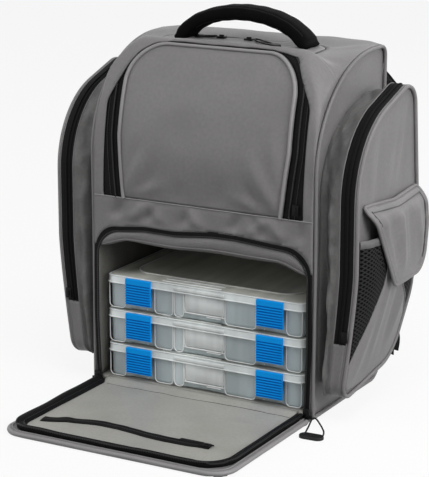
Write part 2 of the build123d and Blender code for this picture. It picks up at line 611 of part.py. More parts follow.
outer_edge = [(across, height) for across, height, _ in STRAP_OUTSIDE]
STRAP_TOP = outer_edge[0][1]
LOW_FACE = PAD_FACE + STRAP_LIFT
with BuildPart() as straps:
    with BuildSketch(Plane.XZ.offset(-FAR)):
        with BuildLine():
            FilletPolyline(*outer_edge, radius=[corner[2] for corner in STRAP_OUTSIDE[1:-1]])
            Line(outer_edge[-1], STRAP_INSIDE[0])
            FilletPolyline(*STRAP_INSIDE, radius=STRAP_BEND)
            Line(STRAP_INSIDE[-1], outer_edge[0])
        make_face()
    extrude(amount=2 * FAR)
    with BuildSketch(Plane.YZ):
        with BuildLine():
            ThreePointArc((PAD_FACE, STRAP_TOP), (FRONT + STRAP_OUT, STRAP_CREST), (LOW_FACE, STRAP_FOOT))
            Line((LOW_FACE, STRAP_FOOT), (LOW_FACE + STRAP_THICK, STRAP_FOOT))
            ThreePointArc((LOW_FACE + STRAP_THICK, STRAP_FOOT),
                          (FRONT + STRAP_OUT + STRAP_THICK, STRAP_CREST + 2),
                          (PAD_FACE + 5, STRAP_TOP + STRAP_THICK))
            Line((PAD_FACE + 5, STRAP_TOP + STRAP_THICK), (PAD_FACE, STRAP_TOP))
        make_face()
    extrude(amount=FAR, both=True, mode=Mode.INTERSECT)
    mirror(about=Plane.YZ)
save(straps.part, "shoulder_straps")

LOCK_TOP = STRAP_FOOT - SEAT
LOCK_FACE = LOW_FACE + 2
with BuildPart() as locks:
    block(LOCK, (LOCK_FACE, LOCK_FACE + 5), (LOCK_TOP - LOCK_TALL, LOCK_TOP))
    for level in (LOCK_TOP - 9, LOCK_TOP - 22):
        block((LOCK[0] + LOCK_BAR, LOCK[1] - LOCK_BAR), (0, FAR),
              (level - LOCK_SLOT / 2, level + LOCK_SLOT / 2), Mode.SUBTRACT)
    mirror(about=Plane.YZ)
save(locks.part, "ladder_locks")

WEB_TOP = LOCK_TOP - LOCK_TALL - SEAT
WEB_FACE = LOCK_FACE + 1
knee, knee_top, knee_foot = WEBBING_KNEE
with BuildPart() as webbing:
    through(front_shape([
        (LOCK[0] + LOCK_BAR, WEB_TOP), (LOCK[1] - LOCK_BAR, WEB_TOP), (knee, knee_top), (knee, knee_foot),
        (HALF_WIDTH - 12, WEBBING_FOOT[0]), (HALF_WIDTH - 12, WEBBING_FOOT[1])]))
    with BuildSketch(Plane.YZ):
        with BuildLine():
            Polyline((PAD_FACE, WEBBING_FOOT[0]), (PAD_FACE + WEBBING_THICK, WEBBING_FOOT[0]),
                     (PAD_FACE + WEBBING_THICK, knee_top), (WEB_FACE + WEBBING_THICK, WEB_TOP),
                     (WEB_FACE, WEB_TOP), (PAD_FACE, knee_top), close=True)
        make_face()
    extrude(amount=FAR, both=True, mode=Mode.INTERSECT)
    mirror(about=Plane.YZ)
save(webbing.part, "strap_webbing")

# ---- tackle boxes ---------------------------------------------------------------------
BOX_Y = (FRONT + BOX_FRONT, FRONT + BOX_FRONT + BOX_DEPTH)
LID_TOP = BOX_TALL - RAISE
TRAY_TOP = LID_TOP - 2 - SEAT
RECESS = (-30.0, 25.0)
RECESS_DEEP = 12.0
RECESS_TALL = 8.0


def stretch(edge):
    """Plan of a box pulled in by edge, as an X stretch and a Y stretch."""
    half = BOX_WIDTH / 2 - edge
    return (-half, half), (BOX_Y[0] + edge, BOX_Y[1] - edge)


for index in range(BOX_COUNT):
    foot = BOARD_TOP + SEAT + index * BOX_PITCH
    label = f"tackle_box_{index + 1}"

    with BuildPart() as tray:
        block(*stretch(RIM_STEP), (foot, foot + TRAY_TOP), corner=BOX_CORNER)
        block(*stretch(RIM_STEP + BOX_WALL), (foot + BOX_WALL, foot + TRAY_TOP), Mode.SUBTRACT,
              corner=BOX_CORNER - BOX_WALL)
        near = BOX_Y[0] + RIM_STEP
        block((RECESS[0] - BOX_WALL, RECESS[1] + BOX_WALL), (near, near + RECESS_DEEP + BOX_WALL),
              (foot, foot + RECESS_TALL + BOX_WALL))
        block(RECESS, (near, near + RECESS_DEEP), (foot, foot + RECESS_TALL), Mode.SUBTRACT)
        inside = stretch(RIM_STEP + BOX_WALL / 2)
        middle = (BOX_Y[0] + BOX_Y[1]) / 2
        block(inside[0], (middle, middle + DIVIDER), (foot + BOX_WALL / 2, foot + TRAY_TOP - 2))
        for step in (-1.5, -0.5, 0.5, 1.5):
            x = step * DIVIDER_PITCH
            block((x, x + DIVIDER), inside[1], (foot + BOX_WALL / 2, foot + TRAY_TOP - 2))
    save(tray.part, f"{label}_tray")

    with BuildPart() as lid:
        block(*stretch(0), (foot + LID_TOP - RIM_TALL, foot + LID_TOP), corner=BOX_CORNER + RIM_STEP)
        block(*stretch(RIM_STEP - SEAT), (foot, foot + TRAY_TOP + SEAT), Mode.SUBTRACT,
              corner=BOX_CORNER + SEAT)
        block(*stretch(22), (foot + LID_TOP, foot + BOX_TALL), corner=20)
    save(lid.part, f"{label}_lid")

    for name, middle in zip(("left", "right"), LATCH_MIDDLES):
        top = foot + LID_TOP - LATCH_DROP
        face = BOX_Y[0] - SEAT - LATCH_THICK
        sides = (middle - LATCH_WIDE / 2, middle + LATCH_WIDE / 2)
        with BuildPart() as latch:
            block(sides, (face, BOX_Y[0] - SEAT), (top - LATCH_TALL, top))
            block(sides, (BOX_Y[0] - SEAT, BOX_Y[0] + RIM_STEP - SEAT),
                  (top - LATCH_TALL, top - LATCH_TALL + 2.5))
            for rib in range(RIB_COUNT):
                level = top - LATCH_TALL + 2 + rib * 3.1
                block((sides[0] + 1, sides[1] - 1), (face - RIB_RISE, face), (level, level + 1.3))
        save(latch.part, f"{label}_latch_{name}")
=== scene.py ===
import bpy
import bmesh
import numpy as np
from math import atan2, cos, pi, radians, sin, tan
from mathutils import Matrix, Vector, noise


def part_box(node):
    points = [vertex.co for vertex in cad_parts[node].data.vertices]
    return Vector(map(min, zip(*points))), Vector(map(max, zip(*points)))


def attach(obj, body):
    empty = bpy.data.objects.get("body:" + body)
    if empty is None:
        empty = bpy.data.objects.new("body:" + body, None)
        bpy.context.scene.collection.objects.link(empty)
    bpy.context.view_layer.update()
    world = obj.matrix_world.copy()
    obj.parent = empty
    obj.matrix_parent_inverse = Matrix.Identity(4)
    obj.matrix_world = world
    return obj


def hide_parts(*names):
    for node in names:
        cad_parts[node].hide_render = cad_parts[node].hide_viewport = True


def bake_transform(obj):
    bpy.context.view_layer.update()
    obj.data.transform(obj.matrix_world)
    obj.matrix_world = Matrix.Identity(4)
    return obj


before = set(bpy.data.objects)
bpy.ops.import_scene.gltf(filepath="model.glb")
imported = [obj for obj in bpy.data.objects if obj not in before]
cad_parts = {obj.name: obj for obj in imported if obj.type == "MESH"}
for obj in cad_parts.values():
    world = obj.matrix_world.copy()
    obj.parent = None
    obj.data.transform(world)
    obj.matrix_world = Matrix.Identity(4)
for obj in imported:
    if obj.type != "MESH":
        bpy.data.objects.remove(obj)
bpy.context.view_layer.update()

# ---- Camera, lamps and floor
# A long lens looks down a little from the front right.  Four soft lamps and a pale room light the bag
# at a plain level; the floor is white to the eye and keeps a faint shadow.
AZIMUTH, ELEVATION = radians(29.36), radians(14.68)
view_back = Vector((sin(AZIMUTH) * cos(ELEVATION), -cos(AZIMUTH) * cos(ELEVATION), sin(ELEVATION)))
camera = bpy.data.objects.new("camera", bpy.data.cameras.new("camera"))
camera.data.lens = 145.66
camera.location = (1.10136, -2.01646, 0.78561)
camera.rotation_euler = (-view_back).to_track_quat("-Z", "Y").to_euler()
scene = bpy.context.scene
scene.collection.objects.link(camera)
scene.camera = camera
scene.view_settings.view_transform = "Standard"
BAG_MIDDLE = Vector((0, 0, 0.2))
FLOOR_HALF, FLOOR_DROP = 6.0, 0.0004     # metres; the drop keeps the floor clear of the base


def paint(colour):
    """An sRGB hex colour as the linear values that a shader takes."""
    channels = [int(colour[i:i + 2], 16) / 255 for i in (1, 3, 5)]
    return [c / 12.92 if c <= 0.04045 else ((c + 0.055) / 1.055) ** 2.4 for c in channels] + [1.0]


def node(owner, kind, links=None, **settings):
    """Add a shader node: settings are its properties or sockets, links are outputs that feed its sockets."""
    made = owner.node_tree.nodes.new("ShaderNode" + kind)
    for name, value in settings.items():
        if hasattr(made, name):
            setattr(made, name, value)
        else:
            made.inputs[name.replace("_", " ")].default_value = value
    for socket, source in (links or {}).items():
        owner.node_tree.links.new(source, made.inputs[socket])
    return made


def in_view(owner):
    """1 for rays from the camera, a gloss or a clear wall, and 0 for rays that only bring light."""
    ray = node(owner, "LightPath").outputs
    seen = node(owner, "Math", {0: ray["Is Camera Ray"], 1: ray["Is Glossy Ray"]}, operation="MAXIMUM")
    seen = node(owner, "Math", {0: seen.outputs[0], 1: ray["Is Transmission Ray"]}, operation="MAXIMUM")
    return seen.outputs[0]


# Each lamp: its name, place and size in metres, and power in watts.
LAMPS = (("key_lamp", (0.8, -1.0, 2.4), 1.0, 19.5), ("side_lamp", (1.6, -0.3, 0.9), 0.9, 16.5),
         ("left_lamp", (-2.0, -1.6, 1.2), 1.3, 14), ("back_lamp", (0.3, 2.1, 1.3), 1.4, 7))
for name, spot, size, power in LAMPS:
    light = bpy.data.objects.new(name, bpy.data.lights.new(name, "AREA"))
    light.data.size, light.data.energy = size, power
    light.location = spot
    light.rotation_euler = (Vector(spot) - BAG_MIDDLE).to_track_quat("Z", "Y").to_euler()
    scene.collection.objects.link(light)

world = bpy.data.worlds.new("pale_room")
world.use_nodes = True
scene.world = world
strength = node(world, "MapRange", {"Value": in_view(world)}, To_Min=0.3, To_Max=1.0)
sky = world.node_tree.nodes["Background"]
sky.inputs["Color"].default_value = paint("#FFFFFF")
world.node_tree.links.new(strength.outputs[0], sky.inputs["Strength"])

floor_mesh = bmesh.new()
bmesh.ops.create_grid(floor_mesh, x_segments=1, y_segments=1, size=FLOOR_HALF)
bmesh.ops.translate(floor_mesh, vec=(0, 0, -FLOOR_DROP), verts=floor_mesh.verts)
floor = bpy.data.objects.new("floor", bpy.data.meshes.new("floor"))
floor_mesh.to_mesh(floor.data)
scene.collection.objects.link(floor)
# Matt white paper: to the eye mostly its own even glow, and to the lamps a plain dull white.
white_floor = bpy.data.materials.new("white floor")
white_floor.use_nodes = True
glow = node(white_floor, "Emission", Color=paint("#FFFFFF"), Strength=1.0)
matt = node(white_floor, "BsdfDiffuse", Color=paint("#F4F4F4"))
dull = node(white_floor, "BsdfDiffuse", Color=paint("#8A8A8A"))
white = node(white_floor, "MixShader", {1: matt.outputs[0], 2: glow.outputs[0]}, Fac=0.88)
both = node(white_floor, "MixShader", {0: in_view(white_floor), 1: dull.outputs[0], 2: white.outputs[0]})
white_floor.node_tree.links.new(both.outputs[0], white_floor.node_tree.nodes["Material Output"].inputs[0])
floor.data.materials.append(white_floor)


# ---- Pull cords and their grips
# Each zip pull on the door and the lid is a loop of 2 mm braided cord, knotted into a moulded rubber
# grip.  The cords lie limp: one on the floor, two on the bag's top.
MM = 0.001               # outlines and thicknesses below are in millimetres
CORD = 2.0               # a cord's diameter


def solid_colour(name, colour, roughness, **settings):
    """A plain surface in one colour, ready for its own grain."""
    material = bpy.data.materials.new(name)
    material.use_nodes = True
    shader = material.node_tree.nodes["Principled BSDF"]
    for socket, value in dict(settings, Base_Color=paint(colour), Roughness=roughness).items():
        shader.inputs[socket.replace("_", " ")].default_value = value
    return material


def join(material, source, socket):
    """Let an output feed one of the shader's sockets."""
    material.node_tree.links.new(source, material.node_tree.nodes["Principled BSDF"].inputs[socket])


def pattern(material, kind, space="Object", **settings):
    """A pattern measured in the piece's own space, or along its UV map."""
    return node(material, kind, {"Vector": node(material, "TexCoord").outputs[space]}, **settings)


def grain(material, source, height, strength=1.0):
    """Give a material relief from a pattern, as deep as height in metres."""
    relief = node(material, "Bump", {"Height": source.outputs[0]}, Strength=strength, Distance=height)
    join(material, relief.outputs[0], "Normal")


def dress(material, *names):
    """Give a material to nodes that keep their own shape."""
    for name in names:
        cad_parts[name].data.materials.clear()
        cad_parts[name].data.materials.append(material)


def drawn_line(name, points, kind, thick, smooth):
    """A round curve of one spline through points in millimetres."""
    curve = bpy.data.curves.new(name, "CURVE")
    curve.dimensions = "3D"
    curve.bevel_depth = thick / 2 * MM
    curve.bevel_resolution = smooth
    curve.use_fill_caps = True
    spline = curve.splines.new(kind)
    spline.points.add(len(points) - 1)
    for spot, (x, y, z) in zip(spline.points, points):
        spot.co = (x * MM, y * MM, z * MM, 1)
    return curve, spline


def free_cord(name, points, body):
    """A limp cord through given points, from its grip, round its slider and back."""
    curve, spline = drawn_line(name, points, "NURBS", CORD, 4)
    spline.order_u = 3
    spline.use_endpoint_u = True
    spline.resolution_u = 10
    cord = bpy.data.objects.new(name + "_braid", curve)
    scene.collection.objects.link(cord)
    cord.data.materials.append(braid)
    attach(cord, body)
    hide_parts(name)


# Braided polyester: dull black with a tight diagonal plait, drawn 1.6 mm to a stitch so that it shows.
braid = solid_colour("braided cord", "#101011", 0.62, Specular_IOR_Level=0.2)
grain(braid, pattern(braid, "TexWave", bands_direction="DIAGONAL", Scale=400.0), 0.0002, 0.7)
# Moulded TPR: satin black, a little uneven from the mould.
rubber = solid_colour("moulded rubber", "#161617", 0.5, Specular_IOR_Level=0.3)
grain(rubber, pattern(rubber, "TexNoise", Scale=900.0, Detail=2.0), 0.00005, 0.6)

free_cord("door_pull_cord", [
    (161.5, -131.0, 2.3), (158.2, -121.5, 1.4), (155.4, -111.0, 1.8), (153.9, -103.0, 4.6),
    (153.8, -97.8, 7.8), (157.4, -96.0, 8.2), (164.6, -101.0, 4.6), (173.6, -109.8, 1.6),
    (180.4, -120.4, 1.4), (183.8, -130.4, 2.3)], "door_slider_right")
free_cord("top_pull_cord_left", [
    (-62.0, 27.0, 425.9), (-56.0, 28.2, 425.6), (-51.2, 30.6, 425.9), (-49.0, 33.8, 426.5),
    (-50.2, 36.0, 426.5), (-54.0, 36.8, 425.9), (-59.6, 35.4, 425.6), (-66.0, 32.9, 425.9)],
    "top_slider_left")
free_cord("top_pull_cord_right", [
    (38.6, 6.4, 426.0), (27.0, 13.4, 425.6), (15.0, 21.8, 425.6), (7.0, 28.6, 426.0),
    (4.2, 32.4, 426.6), (4.9, 35.2, 426.6), (9.6, 35.6, 426.0), (19.0, 29.6, 425.6),
    (31.0, 21.6, 425.6), (42.6, 13.2, 426.0)], "top_slider_right")
dress(rubber, "door_pull_grip", "top_pull_grip_left", "top_pull_grip_right")


# ---- Base and back panel
# The floor of the bag is a stiff board in a lining sleeve on coated cloth, and the back is padded cloth.
# Both are flat panels of oxford cloth, cut out, sewn at their edges and slightly slack.
def run_of(line):
    """How far along the line each of its points is."""
    return np.concatenate([[0], np.cumsum(np.linalg.norm(np.diff(line, axis=0), axis=1))])


def evenly(line, count):
    """The line as exactly count points, evenly spaced."""
    far = run_of(line)
    at = np.linspace(0, far[-1], count)
    return np.stack([np.interp(at, far, column) for column in line.T], 1)


def spaced(line, step, closed=False):
    """The line with its points evenly spaced, about step apart; a closed one leaves out its last point."""
    even = evenly(line, max(3, round(run_of(line)[-1] / step)) + 1)
    return even[:-1] if closed else even


def closed_up(line):
    """The line with its first point again at its end."""
    return np.vstack([line, line[:1]])


def path(corners, step, closed=True):
    """Points every step along a path whose corners (across, up, rounding) are rounded."""
    spots = []
    count = len(corners)
    for i, (x, y, radius) in enumerate(corners):
        here = Vector((x, y))
        if not radius or (not closed and i in (0, count - 1)):
            spots.append(here)
            continue
        back = (Vector(corners[i - 1][:2]) - here).normalized()
        on = (Vector(corners[(i + 1) % count][:2]) - here).normalized()
        half = back.angle(on) / 2
        centre = here + (back + on).normalized() * radius / sin(half)
        first = here + back * radius / tan(half) - centre
        last = here + on * radius / tan(half) - centre
        turn = atan2(first.cross(last), first.dot(last))
        spots += [centre + Matrix.Rotation(turn * k / 16, 2) @ first for k in range(17)]
    if closed:
        spots.append(spots[0])
    return spaced(np.array([spot[:] for spot in spots]), step, closed)


def oblong(low, foot, high, top, at_foot=0, at_top=0):
    """The corners of an oblong, rounded at its foot and its top as given."""
    return [(low, foot, at_foot), (high, foot, at_foot), (high, top, at_top), (low, top, at_top)]


def inside(points, loops):
    """Which points lie inside an odd number of the loops."""
    odd = np.zeros(len(points), bool)
    for loop in loops:
        for (ax, ay), (bx, by) in zip(loop, np.roll(loop, -1, 0)):
            if ay != by:
                crosses = (ay > points[:, 1]) != (by > points[:, 1])
                odd ^= crosses & (points[:, 0] < ax + (points[:, 1] - ay) / (by - ay) * (bx - ax))
    return odd


def unit(rows):
    """The same directions, each one long."""
    return rows / np.linalg.norm(rows, axis=1)[:, None]


def nearest(points, loops):
    """The spot on the loops nearest to each point."""
    best = np.full(len(points), np.inf)
    spots = points.copy()
    for loop in loops:
        for a, b in zip(loop, np.roll(loop, -1, 0)):
            along = b - a
            share = np.clip((points - a) @ along / max(along @ along, 1e-9), 0, 1)
            spot = a + share[:, None] * along
            far = np.linalg.norm(points - spot, axis=1)
            spots[far < best] = spot[far < best]
            best = np.minimum(best, far)
    return spots


def from_edge(across, up, loop):
    """How far each place is from the loop."""
    spots = np.stack(np.broadcast_arrays(across, up), 1)
    return np.linalg.norm(spots - nearest(spots, [loop]), axis=1)


def flat_middles(bm):
    """The middle of each face of a flat cloth."""
    return np.array([face.calc_center_median()[:2] for face in bm.faces])


def cut_cloth(outline, cell, *holes):
    """Flat cloth in square cells, cut along an outline and holes.  Its UV map is the flat cloth in metres."""
    low, high = outline.min(0), outline.max(0)
    size, middle = high - low, (high + low) / 2
    bm = bmesh.new()
    bmesh.ops.create_grid(bm, x_segments=max(2, round(size[0] / cell)),
                          y_segments=max(2, round(size[1] / cell)), size=0.5)
    bmesh.ops.scale(bm, vec=(*size, 1), verts=bm.verts)
    bmesh.ops.translate(bm, vec=(*middle, 0), verts=bm.verts)
    loops = [outline, *holes]
    kept = inside(flat_middles(bm), loops)
    bmesh.ops.delete(bm, geom=[face for face, keep in zip(bm.faces, kept) if not keep], context="FACES")
    edge = [v for v in bm.verts if v.is_boundary]
    for v, spot in zip(edge, nearest(np.array([v.co[:2] for v in edge]), loops)):
        v.co.xy = spot
    near = [v for v in bm.verts if not v.is_boundary
            and any(e.other_vert(v).is_boundary for e in v.link_edges)]
    bmesh.ops.smooth_vert(bm, verts=near, factor=0.5, use_axis_x=True, use_axis_y=True)
    weave = bm.loops.layers.uv.new("weave")
    for face in bm.faces:
        for corner in face.loops:
            corner[weave].uv = corner.vert.co.xy * MM
    return bm


def lay(bm, surface):
    """Move flat cloth to where surface(across, up) says, and from millimetres to metres."""
    flat = np.array([v.co[:] for v in bm.verts])
    for v, spot in zip(bm.verts, surface(flat[:, 0], flat[:, 1]) * MM):
        v.co = spot
    return bm


def xyz(x, y, z):
    """Points in space from three measures, each a list or one number for all."""
    return np.stack(np.broadcast_arrays(x, y, z), 1)


def rumple(across, up, size, seed, stretch=1.0):
    """Soft unevenness of about that size, from -1 to 1; stretch lengthens it upwards."""
    spots = zip(*np.broadcast_arrays(across, up))
    return np.array([noise.noise((a / size, b / size / stretch, seed)) for a, b in spots])


def piece(name, bm, material, body, *nodes, slot, thick=0.0, turned=False, smooth=True):
    """Make a bmesh a finished piece: it rides on a body and stands for its nodes."""
    if turned:
        bmesh.ops.reverse_faces(bm, faces=bm.faces)
    mesh = bpy.data.meshes.new(name)
    bm.to_mesh(mesh)
    bm.free()
    mesh.shade_smooth() if smooth else mesh.shade_flat()
    made = bpy.data.objects.new(name, mesh)
    scene.collection.objects.link(made)
    for one in (material if isinstance(material, list) else [material]):
        mesh.materials.append(one)
    if thick:
        wall = made.modifiers.new("thickness", "SOLIDIFY")
        wall.thickness = thick * MM
        wall.offset = -1.0
    if body:
        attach(made, body)
    if nodes:
        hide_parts(*nodes)
    return made


def two_tone(material, source, dark, light, **spread):
    """Colour a material from dark to light as a pattern rises; spread stretches the pattern."""
    shade = node(material, "MapRange", {"Value": source.outputs[0]}, **spread)
    tint = node(material, "Mix", {0: shade.outputs[0]}, data_type="RGBA")
    tint.inputs[6].default_value, tint.inputs[7].default_value = dark, light
    join(material, tint.outputs[2], "Base Color")
    return shade


def stripes(thread):
    """The scale of a wave pattern with one stripe per thread, in metres."""
    return pi / 10 / thread


def oxford(name, dark, light, thread, roughness, depth, **settings):
    """Woven cloth: threads a given distance apart in metres, slubs, and slow changes of shade."""
    material = solid_colour(name, light, roughness, **settings)
    warp, weft = [pattern(material, "TexWave", "UV", bands_direction=way, Scale=stripes(thread))
                  for way in "XY"]
    threads = node(material, "Math", {0: warp.outputs["Fac"], 1: weft.outputs["Fac"]}, operation="MULTIPLY")
    slub = pattern(material, "TexNoise", "UV", Scale=0.3 / thread, Detail=3.0)
    cloud = pattern(material, "TexNoise", Scale=20.0, Detail=2.0)
    shade = node(material, "Math", {0: slub.outputs[0], 1: cloud.outputs[0]}, operation="MULTIPLY")
    two_tone(material, shade, paint(dark), paint(light), From_Min=0.12, From_Max=0.38)
    lumps = node(material, "Math", {0: slub.outputs[0], 2: threads.outputs[0]}, operation="MULTIPLY_ADD")
    lumps.inputs[1].default_value = 0.4
    grain(material, lumps, depth, 0.5)
    return material


# Oxford polyester with a PU coating, grey: a close basket weave with a soft shine.  Its real threads are
# 0.4 mm apart and too fine to show, so they are drawn 1.3 mm apart.
grey_cloth = oxford("grey oxford polyester", "#747273", "#7D7B7B", 0.0013, 0.48, 0.00022,
                    Specular_IOR_Level=0.5, Sheen_Weight=0.1)
# Lining taffeta, pale grey: thinner, smoother and a little glossier than the outer cloth.  Its threads
# are far finer than the 1.1 mm that they are drawn at.
lining_cloth = oxford("lining taffeta", "#A09F99", "#ACABA5", 0.0011, 0.5, 0.0001, Specular_IOR_Level=0.35)
# The compartment's lining: the same taffeta, coloured a darker grey as painted shade for the inside of the
# compartment.
painted_shade_lining = oxford("lining taffeta with painted shade", "#64635F", "#6F6E6A", 0.0011, 0.5, 0.0001, Specular_IOR_Level=0.3)


def base_sag(x, y):
    """The base is flat on the floor and turns up in a round corner of 24 mm at the back."""
    return xyz(x, y, 27.9 - np.sqrt(24 ** 2 - np.clip(y - 69, 0, 23.6) ** 2))


base = lay(cut_cloth(path(oblong(-147, -101, 147, 92.6, 6), 6), 6), base_sag)
piece("base_cloth", base, grey_cloth, "pack", "base_panel", slot="grey_fabric", thick=3.8)
board = lay(cut_cloth(path(oblong(-145.6, -92, 145.6, 80, 6, 6), 8), 8),
            lambda x, y: xyz(x, y, 10.2 + 0.3 * rumple(x, y, 50, 2)))
piece("floor_lining", board, lining_cloth, "pack", "base_board", slot="stiffener", thick=6.0)
back = lay(cut_cloth(path(oblong(-147, 20, 147, 402), 8), 8),
           lambda x, z: xyz(-x, 92.2 + 0.8 * rumple(x, z, 70, 3), z))
piece("back_cloth", back, grey_cloth, "pack", "back_panel", slot="grey_fabric", thick=2.6)


# ---- Side panels and their piping
# Each side is one panel of the same cloth, sewn into the piped edge all round.  The piping is a cord
# wrapped in a pale cloth strip, which stands out as a bead.
SIDES = (("right", 1), ("left", -1))
SIDE_OUT = 148.4         # from the bag's middle to its side cloth
FRONT = -93.0            # the front cloth's plane
FRONT_CURVE = (57, 293), (150, 132)      # where the front leans back to the top: centre and radii
TOP_CORNER = (81, 413), (12, 12)


def arc(centre, radii, start, end):
    """Points along a quarter or so of an ellipse, in the side view."""
    turn = np.radians(np.linspace(start, end, 33))
    return np.stack([centre[0] + radii[0] * np.cos(turn), centre[1] + radii[1] * np.sin(turn)], 1)


def fullness(across, up, outline, reach):
    """How far each place of a panel stands clear of its edge: 0 at the edge, 1 from reach inwards."""
    share = np.clip(from_edge(across, up, outline) / reach, 0, 1)
    return share * (2 - share)


def folds(across, up, ridges):
    """Soft ridges in cloth, each (start, end, width, height); a negative height makes a crease."""
    lift = 0.0
    for start, end, width, height in ridges:
        start, end = np.array(start, float), np.array(end, float)
        along = end - start
        share = np.clip(((across - start[0]) * along[0] + (up - start[1]) * along[1]) / (along @ along), 0, 1)
        far = np.hypot(across - start[0] - share * along[0], up - start[1] - share * along[1])
        lift = lift + height * np.sin(pi * np.clip(share, 0.05, 0.95)) ** 0.7 * np.exp(-(far / width) ** 2)
    return lift


def bead(name, line, thick, material, body, *nodes, slot, closed=False):
    """A round bead of piping, binding or zip coil along a line of points in millimetres."""
    curve, spline = drawn_line(name, line, "POLY", thick, 2)
    curve.use_fill_caps = not closed
    spline.use_cyclic_u = closed
    maker = bpy.data.objects.new(name + "_line", curve)
    bm = bmesh.new()
    bm.from_mesh(bpy.data.meshes.new_from_object(maker))
    bpy.data.objects.remove(maker)
    return piece(name, bm, material, body, *nodes, slot=slot)


# Piping cloth: the same polyester dyed paler, stretched smooth over its cord, with fine cross threads.
piping_cloth = solid_colour("piping cloth", "#939192", 0.45, Specular_IOR_Level=0.4)
grain(piping_cloth, pattern(piping_cloth, "TexNoise", Scale=700.0, Detail=2.0), 0.0002, 0.5)
# Dark bonded thread, pulled tight into each seam beside the piping.
dark_thread = solid_colour("dark nylon thread", "#3E3D3E", 0.5, Sheen_Weight=0.2)
grain(dark_thread, pattern(dark_thread, "TexNoise", Scale=900.0), 0.0002)

side_outline = np.concatenate([
    [[FRONT, 3], [FRONT, 293]], arc(*FRONT_CURVE, 180, 90), arc(*TOP_CORNER, 90, 0),
    arc((69, 27), (24, 24), 0, -90)])
side_outline = spaced(closed_up(side_outline), 5, True)
for side, sign in SIDES:
    def bulge(y, z):
        """The side cloth swells a little and lies in slow waves."""
        full = fullness(y, z, side_outline, 45)
        return xyz(sign * (SIDE_OUT + 2.2 * full + 1.2 * rumple(y, z, 45, 5 + sign, 2.0) * full), y, z)
    piece(f"{side}_side_cloth", lay(cut_cloth(side_outline, 6), bulge), grey_cloth, "pack",
          f"{side}_side_panel", slot="grey_fabric", thick=2.0, turned=sign < 0)
middle = np.array([0.0, 205.0])
ring = side_outline + 2.6 * unit(middle - side_outline)
seam_step = np.column_stack([np.zeros(len(ring)), (ring - middle) / 160])
for side, sign in SIDES:
    line = xyz(sign * (SIDE_OUT + 3), *ring.T)
    piping = bead(f"{side}_side_piping", line, 4.6, grey_cloth, "pack", slot="piping", closed=True)
    bead(f"{side}_side_seam", line - (sign * 2.2, 0, 0) + seam_step, 0.9, dark_thread, "pack", slot="piping",
         closed=True)
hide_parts("side_piping")


# ---- Front and top panels
# The front panel runs from the door opening up both sides of the pocket to the top, and the top panel
# from there to the back.  Both are slack, so the strip over the opening puckers.
HALF = 149.0             # from the bag's middle to the seams of its front and top
POCKET_FOOT = 242.0      # height of the seam under the front pocket
TOP = 424.0
BENDS = 40               # points on each of the four parts of the lines below


def ease(low, high, value):
    """0 below low, 1 above high, smooth between."""
    share = np.clip((value - low) / (high - low), 0, 1)
    return share * share * (3 - 2 * share)


def in_parts(*parts):
    """Join parts of a line so that each part takes the same share of its points."""
    return np.vstack([*(evenly(part, BENDS + 1)[:-1] for part in parts), parts[-1][-1:]])


# Two lines from the foot of the front to the top of the back, in the side view: the one at the bag's
# side follows the piping, and the one in its middle bulges over the pocket and the top.
top_run = np.linspace(-33, 81, 60)
upright = np.array([[FRONT, 4.0], [FRONT, POCKET_FOOT]])
SIDE_LINE = in_parts(
    upright, np.vstack([upright[1:], arc(*FRONT_CURVE, 180, 126.87)]),
    np.vstack([arc(*FRONT_CURVE, 126.87, 90), [[81.0, 425.0]]]),
    np.vstack([arc(*TOP_CORNER, 90, 0), [[93.0, 400.0]]]))
MIDDLE_LINE = in_parts(
    upright, arc((-33, POCKET_FOOT), (60, 189), 180, 90),
    np.stack([top_run, TOP + 7 * np.exp(-((top_run + 33) / 9) ** 2) + 5 * ease(30, 80, top_run)], 1),
    np.vstack([arc((81, 417), (12, 12), 90, 0), [[93.0, 400.0]]]))
SHARES = np.linspace(0, 4, len(MIDDLE_LINE))
MIDDLE_RUN = run_of(MIDDLE_LINE)
RIDGE = MIDDLE_RUN[2 * BENDS]
TOP_EDGE = MIDDLE_RUN[-1]


def run_at(y, z):
    """How far up the middle line the place nearest to (y, z) is."""
    return MIDDLE_RUN[np.argmin(np.hypot(MIDDLE_LINE[:, 0] - y, MIDDLE_LINE[:, 1] - z))]


def up_front(z):
    """The same for a height on the front pocket."""
    return np.interp(z, MIDDLE_LINE[:2 * BENDS, 1], MIDDLE_RUN[:2 * BENDS])


def shell(across, up):
    """The bag's front and top, taut: between the middle line and the side line in a quarter wave."""
    share = np.interp(up, MIDDLE_RUN, SHARES)
    side, middle = [[np.interp(share, SHARES, column) for column in line.T]
                    for line in (SIDE_LINE, MIDDLE_LINE)]
    rounded = HALF - 137 + 33 * ease(1.7, 2.0, share)
    blend = np.sin(np.clip((HALF - np.abs(across)) / rounded, 0, 1) * pi / 2)
    return xyz(across, side[0] + (middle[0] - side[0]) * blend, side[1] + (middle[1] - side[1]) * blend)


def skin(across, up, lift=0.0):
    """The bag's front and top: across from the middle, up along the middle line, and out by lift."""
    across, up = np.asarray(across, float), np.asarray(up, float)
    wide = shell(across + 0.6, up) - shell(across - 0.6, up)
    tall = shell(across, np.minimum(up + 0.6, TOP_EDGE)) - shell(across, up - 0.6)
    out = unit(np.cross(wide, tall))
    return shell(across, up) + out * np.reshape(lift, (-1, 1) if np.ndim(lift) else ())


def draped(bm, slack):
    """Lay flat cloth on the skin, lifted by slack(across, up)."""
    return lay(bm, lambda across, up: skin(across, up, slack(across, up)))


def hoop(half, foot, top, rounding=0):
    """The corners of a line up one side, over the top and down the other; a minus half goes the other way."""
    return [(-half, foot, 0), (-half, top, rounding), (half, top, rounding), (half, foot, 0)]


